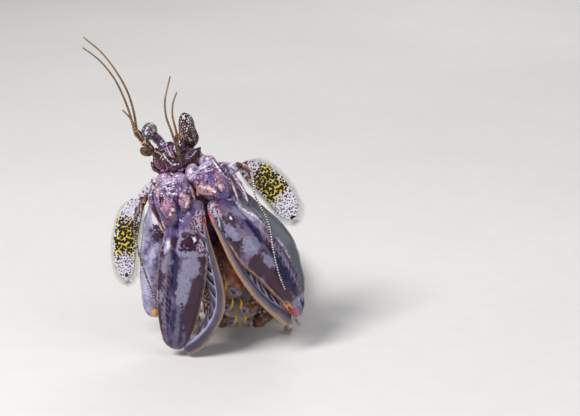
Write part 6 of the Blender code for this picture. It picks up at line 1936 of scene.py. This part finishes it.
def make_walking_leg(index, side, hand):
    """A slim leg under a chest ring with a rod-like branch and a brush at its foot."""
    s = SHIELD_END + (1.5 + index) * THORAX_PITCH
    hip, thigh = on_body(s, side * 7.5, -4.0), on_body(s + 0.5, side * 12.0, -6.2)
    foot_out, foot_back = (13.0, 13.5, 14.0)[index], (11.0, 20.0, 30.0)[index]
    middle = BODY_LINE[4][0] + 0.5
    knee = (middle + side * (foot_out + 1.0), foot_back - 1.0, 6.5)
    foot = (middle + side * foot_out, foot_back - 2.5, 0.35)
    seed = 700 + 10 * index + (side > 0)
    lumpy = lambda skin: 0.12 * clouds(skin.place, 1.3, seed) - 0.14 * hump(skin.t, 0.46, 0.03)
    upper = limb((hip, thigh, knee), ((0, 3.0, 2.6), (0.5, 2.2, 2.0), (1, 1.8, 1.6)), FRONT, 70, 36, (0, 0.1), relief=lumpy)
    lower = limb((knee, foot), ((0, 1.8, 1.5), (0.6, 1.9, 1.2), (1, 1.5, 0.9)), FRONT, 50, 32, (0.2, 0.15), relief=lumpy)
    rod_tip = (middle + side * (foot_out + 3.6), foot_back + 0.5, 2.0)
    branch = limb((thigh, knee, rod_tip), ((0, 1.0, 1.0), (1, 0.6, 0.6)), FRONT, 50, 18, (0, 0.1))
    for part in (upper, lower, branch):
        part.paint(shade=np.maximum(0.4 * clouds(part.place, 1.4, seed + 3) - 0.12, 0.3 - np.abs(part.t - 0.46) * part.length),
                   pale=0.4 * clouds(part.place, 2.2, seed + 5) - 0.1)
    put(f"leg_{index + 1}_{hand}", f"walking_leg_{index + 1}_{hand}", "leg", upper, lower, branch)
    turn = np.linspace(0, 1, 44, endpoint=False)
    brush = [hairs_on(lower, np.full(44, row), turn, 1.0, (0.6, 0.9, 0.0), 0.08, 0.0, seed, 0.15) for row in (0.7, 0.8, 0.88)]
    brush.append(hairs_on(branch, np.linspace(0.8, 0.99, 40), 0.25 * np.arange(40), 0.9, (0.7, 0.7, 0), 0.07, 0.0, seed, 0.1))
    build(f"leg_brush_{index + 1}_{hand}", [], "brush", brush)


for name in CLAWS:
    make_palm(name)
    make_finger(name)
    make_wrist(name)
    make_arm(name)
    make_arm_root(name)
    make_scale(name)
    make_antenna(name)
    make_eye(name)
    make_antennule(name)
make_head()
make_flap()
for number, name in enumerate(MOUTH_LIMBS):
    make_mouth_limb(name, 150 + 12 * number)
make_trunk()
make_telson()
for side, hand in ((1, "left"), (-1, "right")):
    make_uropod(side, hand)
    for ring in range(5):
        make_swimmeret(ring, side, hand)
    for index in range(3):
        make_walking_leg(index, side, hand)


# Floor, light and camera

def floor_finish():
    """A pale, slightly uneven studio floor."""
    made = Finish("studio_floor", (226, 224, 222), (220, 218, 217), 300.0)
    made.bump(made.noise(2.0), 0.02)
    return made.done(0.85, 0.05, 0.0, 0.3, 0.012, 8.0, shine=0.2)


def make_floor():
    """A flat square floor whose top lies at zero height."""
    reach = 4.0
    mesh = bpy.data.meshes.new("studio_floor")
    mesh.from_pydata([(-reach, -reach, 0), (reach, -reach, 0), (reach, reach, 0), (-reach, reach, 0)], [], [(0, 1, 2, 3)])
    mesh.update()
    floor = bpy.data.objects.new("studio_floor", mesh)
    bpy.context.scene.collection.objects.link(floor)
    floor.data.materials.append(floor_finish().material)


def area_light(name, place, aim, size, power, colour):
    """A square soft light that looks from its place towards its aim."""
    lamp = bpy.data.lights.new(name, "AREA")
    lamp.shape = "SQUARE"
    lamp.size = size
    lamp.energy = power
    lamp.color = colour
    made = bpy.data.objects.new(name, lamp)
    made.location = place
    toward = np.asarray(aim, float) - np.asarray(place, float)
    made.rotation_euler = (math.acos(-toward[2] / np.linalg.norm(toward)), 0, math.atan2(-toward[0], toward[1]) )
    bpy.context.scene.collection.objects.link(made)


def make_light():
    """One large soft key from the upper left, a weak fill, and a pale even sky."""
    area_light("key", (-0.35, -0.45, 0.60), (0, 0, 0.03), 0.30, 7.0, (1.0, 0.98, 0.95))
    area_light("fill", (0.55, -0.40, 0.30), (0, 0, 0.04), 0.5, 1.5, (0.92, 0.95, 1.0))
    area_light("back", (0.15, 0.60, 0.45), (0, 0.02, 0.03), 0.4, 1.5, (1.0, 1.0, 1.0))
    world = bpy.data.worlds.new("studio")
    world.use_nodes = True
    sky = world.node_tree.nodes["Background"]
    sky.inputs["Color"].default_value = (0.9, 0.92, 0.95, 1.0)
    sky.inputs["Strength"].default_value = 0.26
    bpy.context.scene.world = world


def make_camera():
    """The photograph's viewpoint: half a metre in front, a little above, looking 16 degrees down."""
    lens = bpy.data.cameras.new("camera")
    lens.sensor_width = 36.0
    lens.lens = 36.0 * 1680 / 580
    lens.clip_start = 0.001
    made = bpy.data.objects.new("camera", lens)
    made.location = (0.02569, -0.50302, 0.16993)
    made.rotation_euler = (math.radians(74), 0, 0)
    bpy.context.scene.collection.objects.link(made)
    bpy.context.scene.camera = made


make_floor()
make_light()
make_camera()
bpy.context.scene.view_settings.view_transform = "Standard"
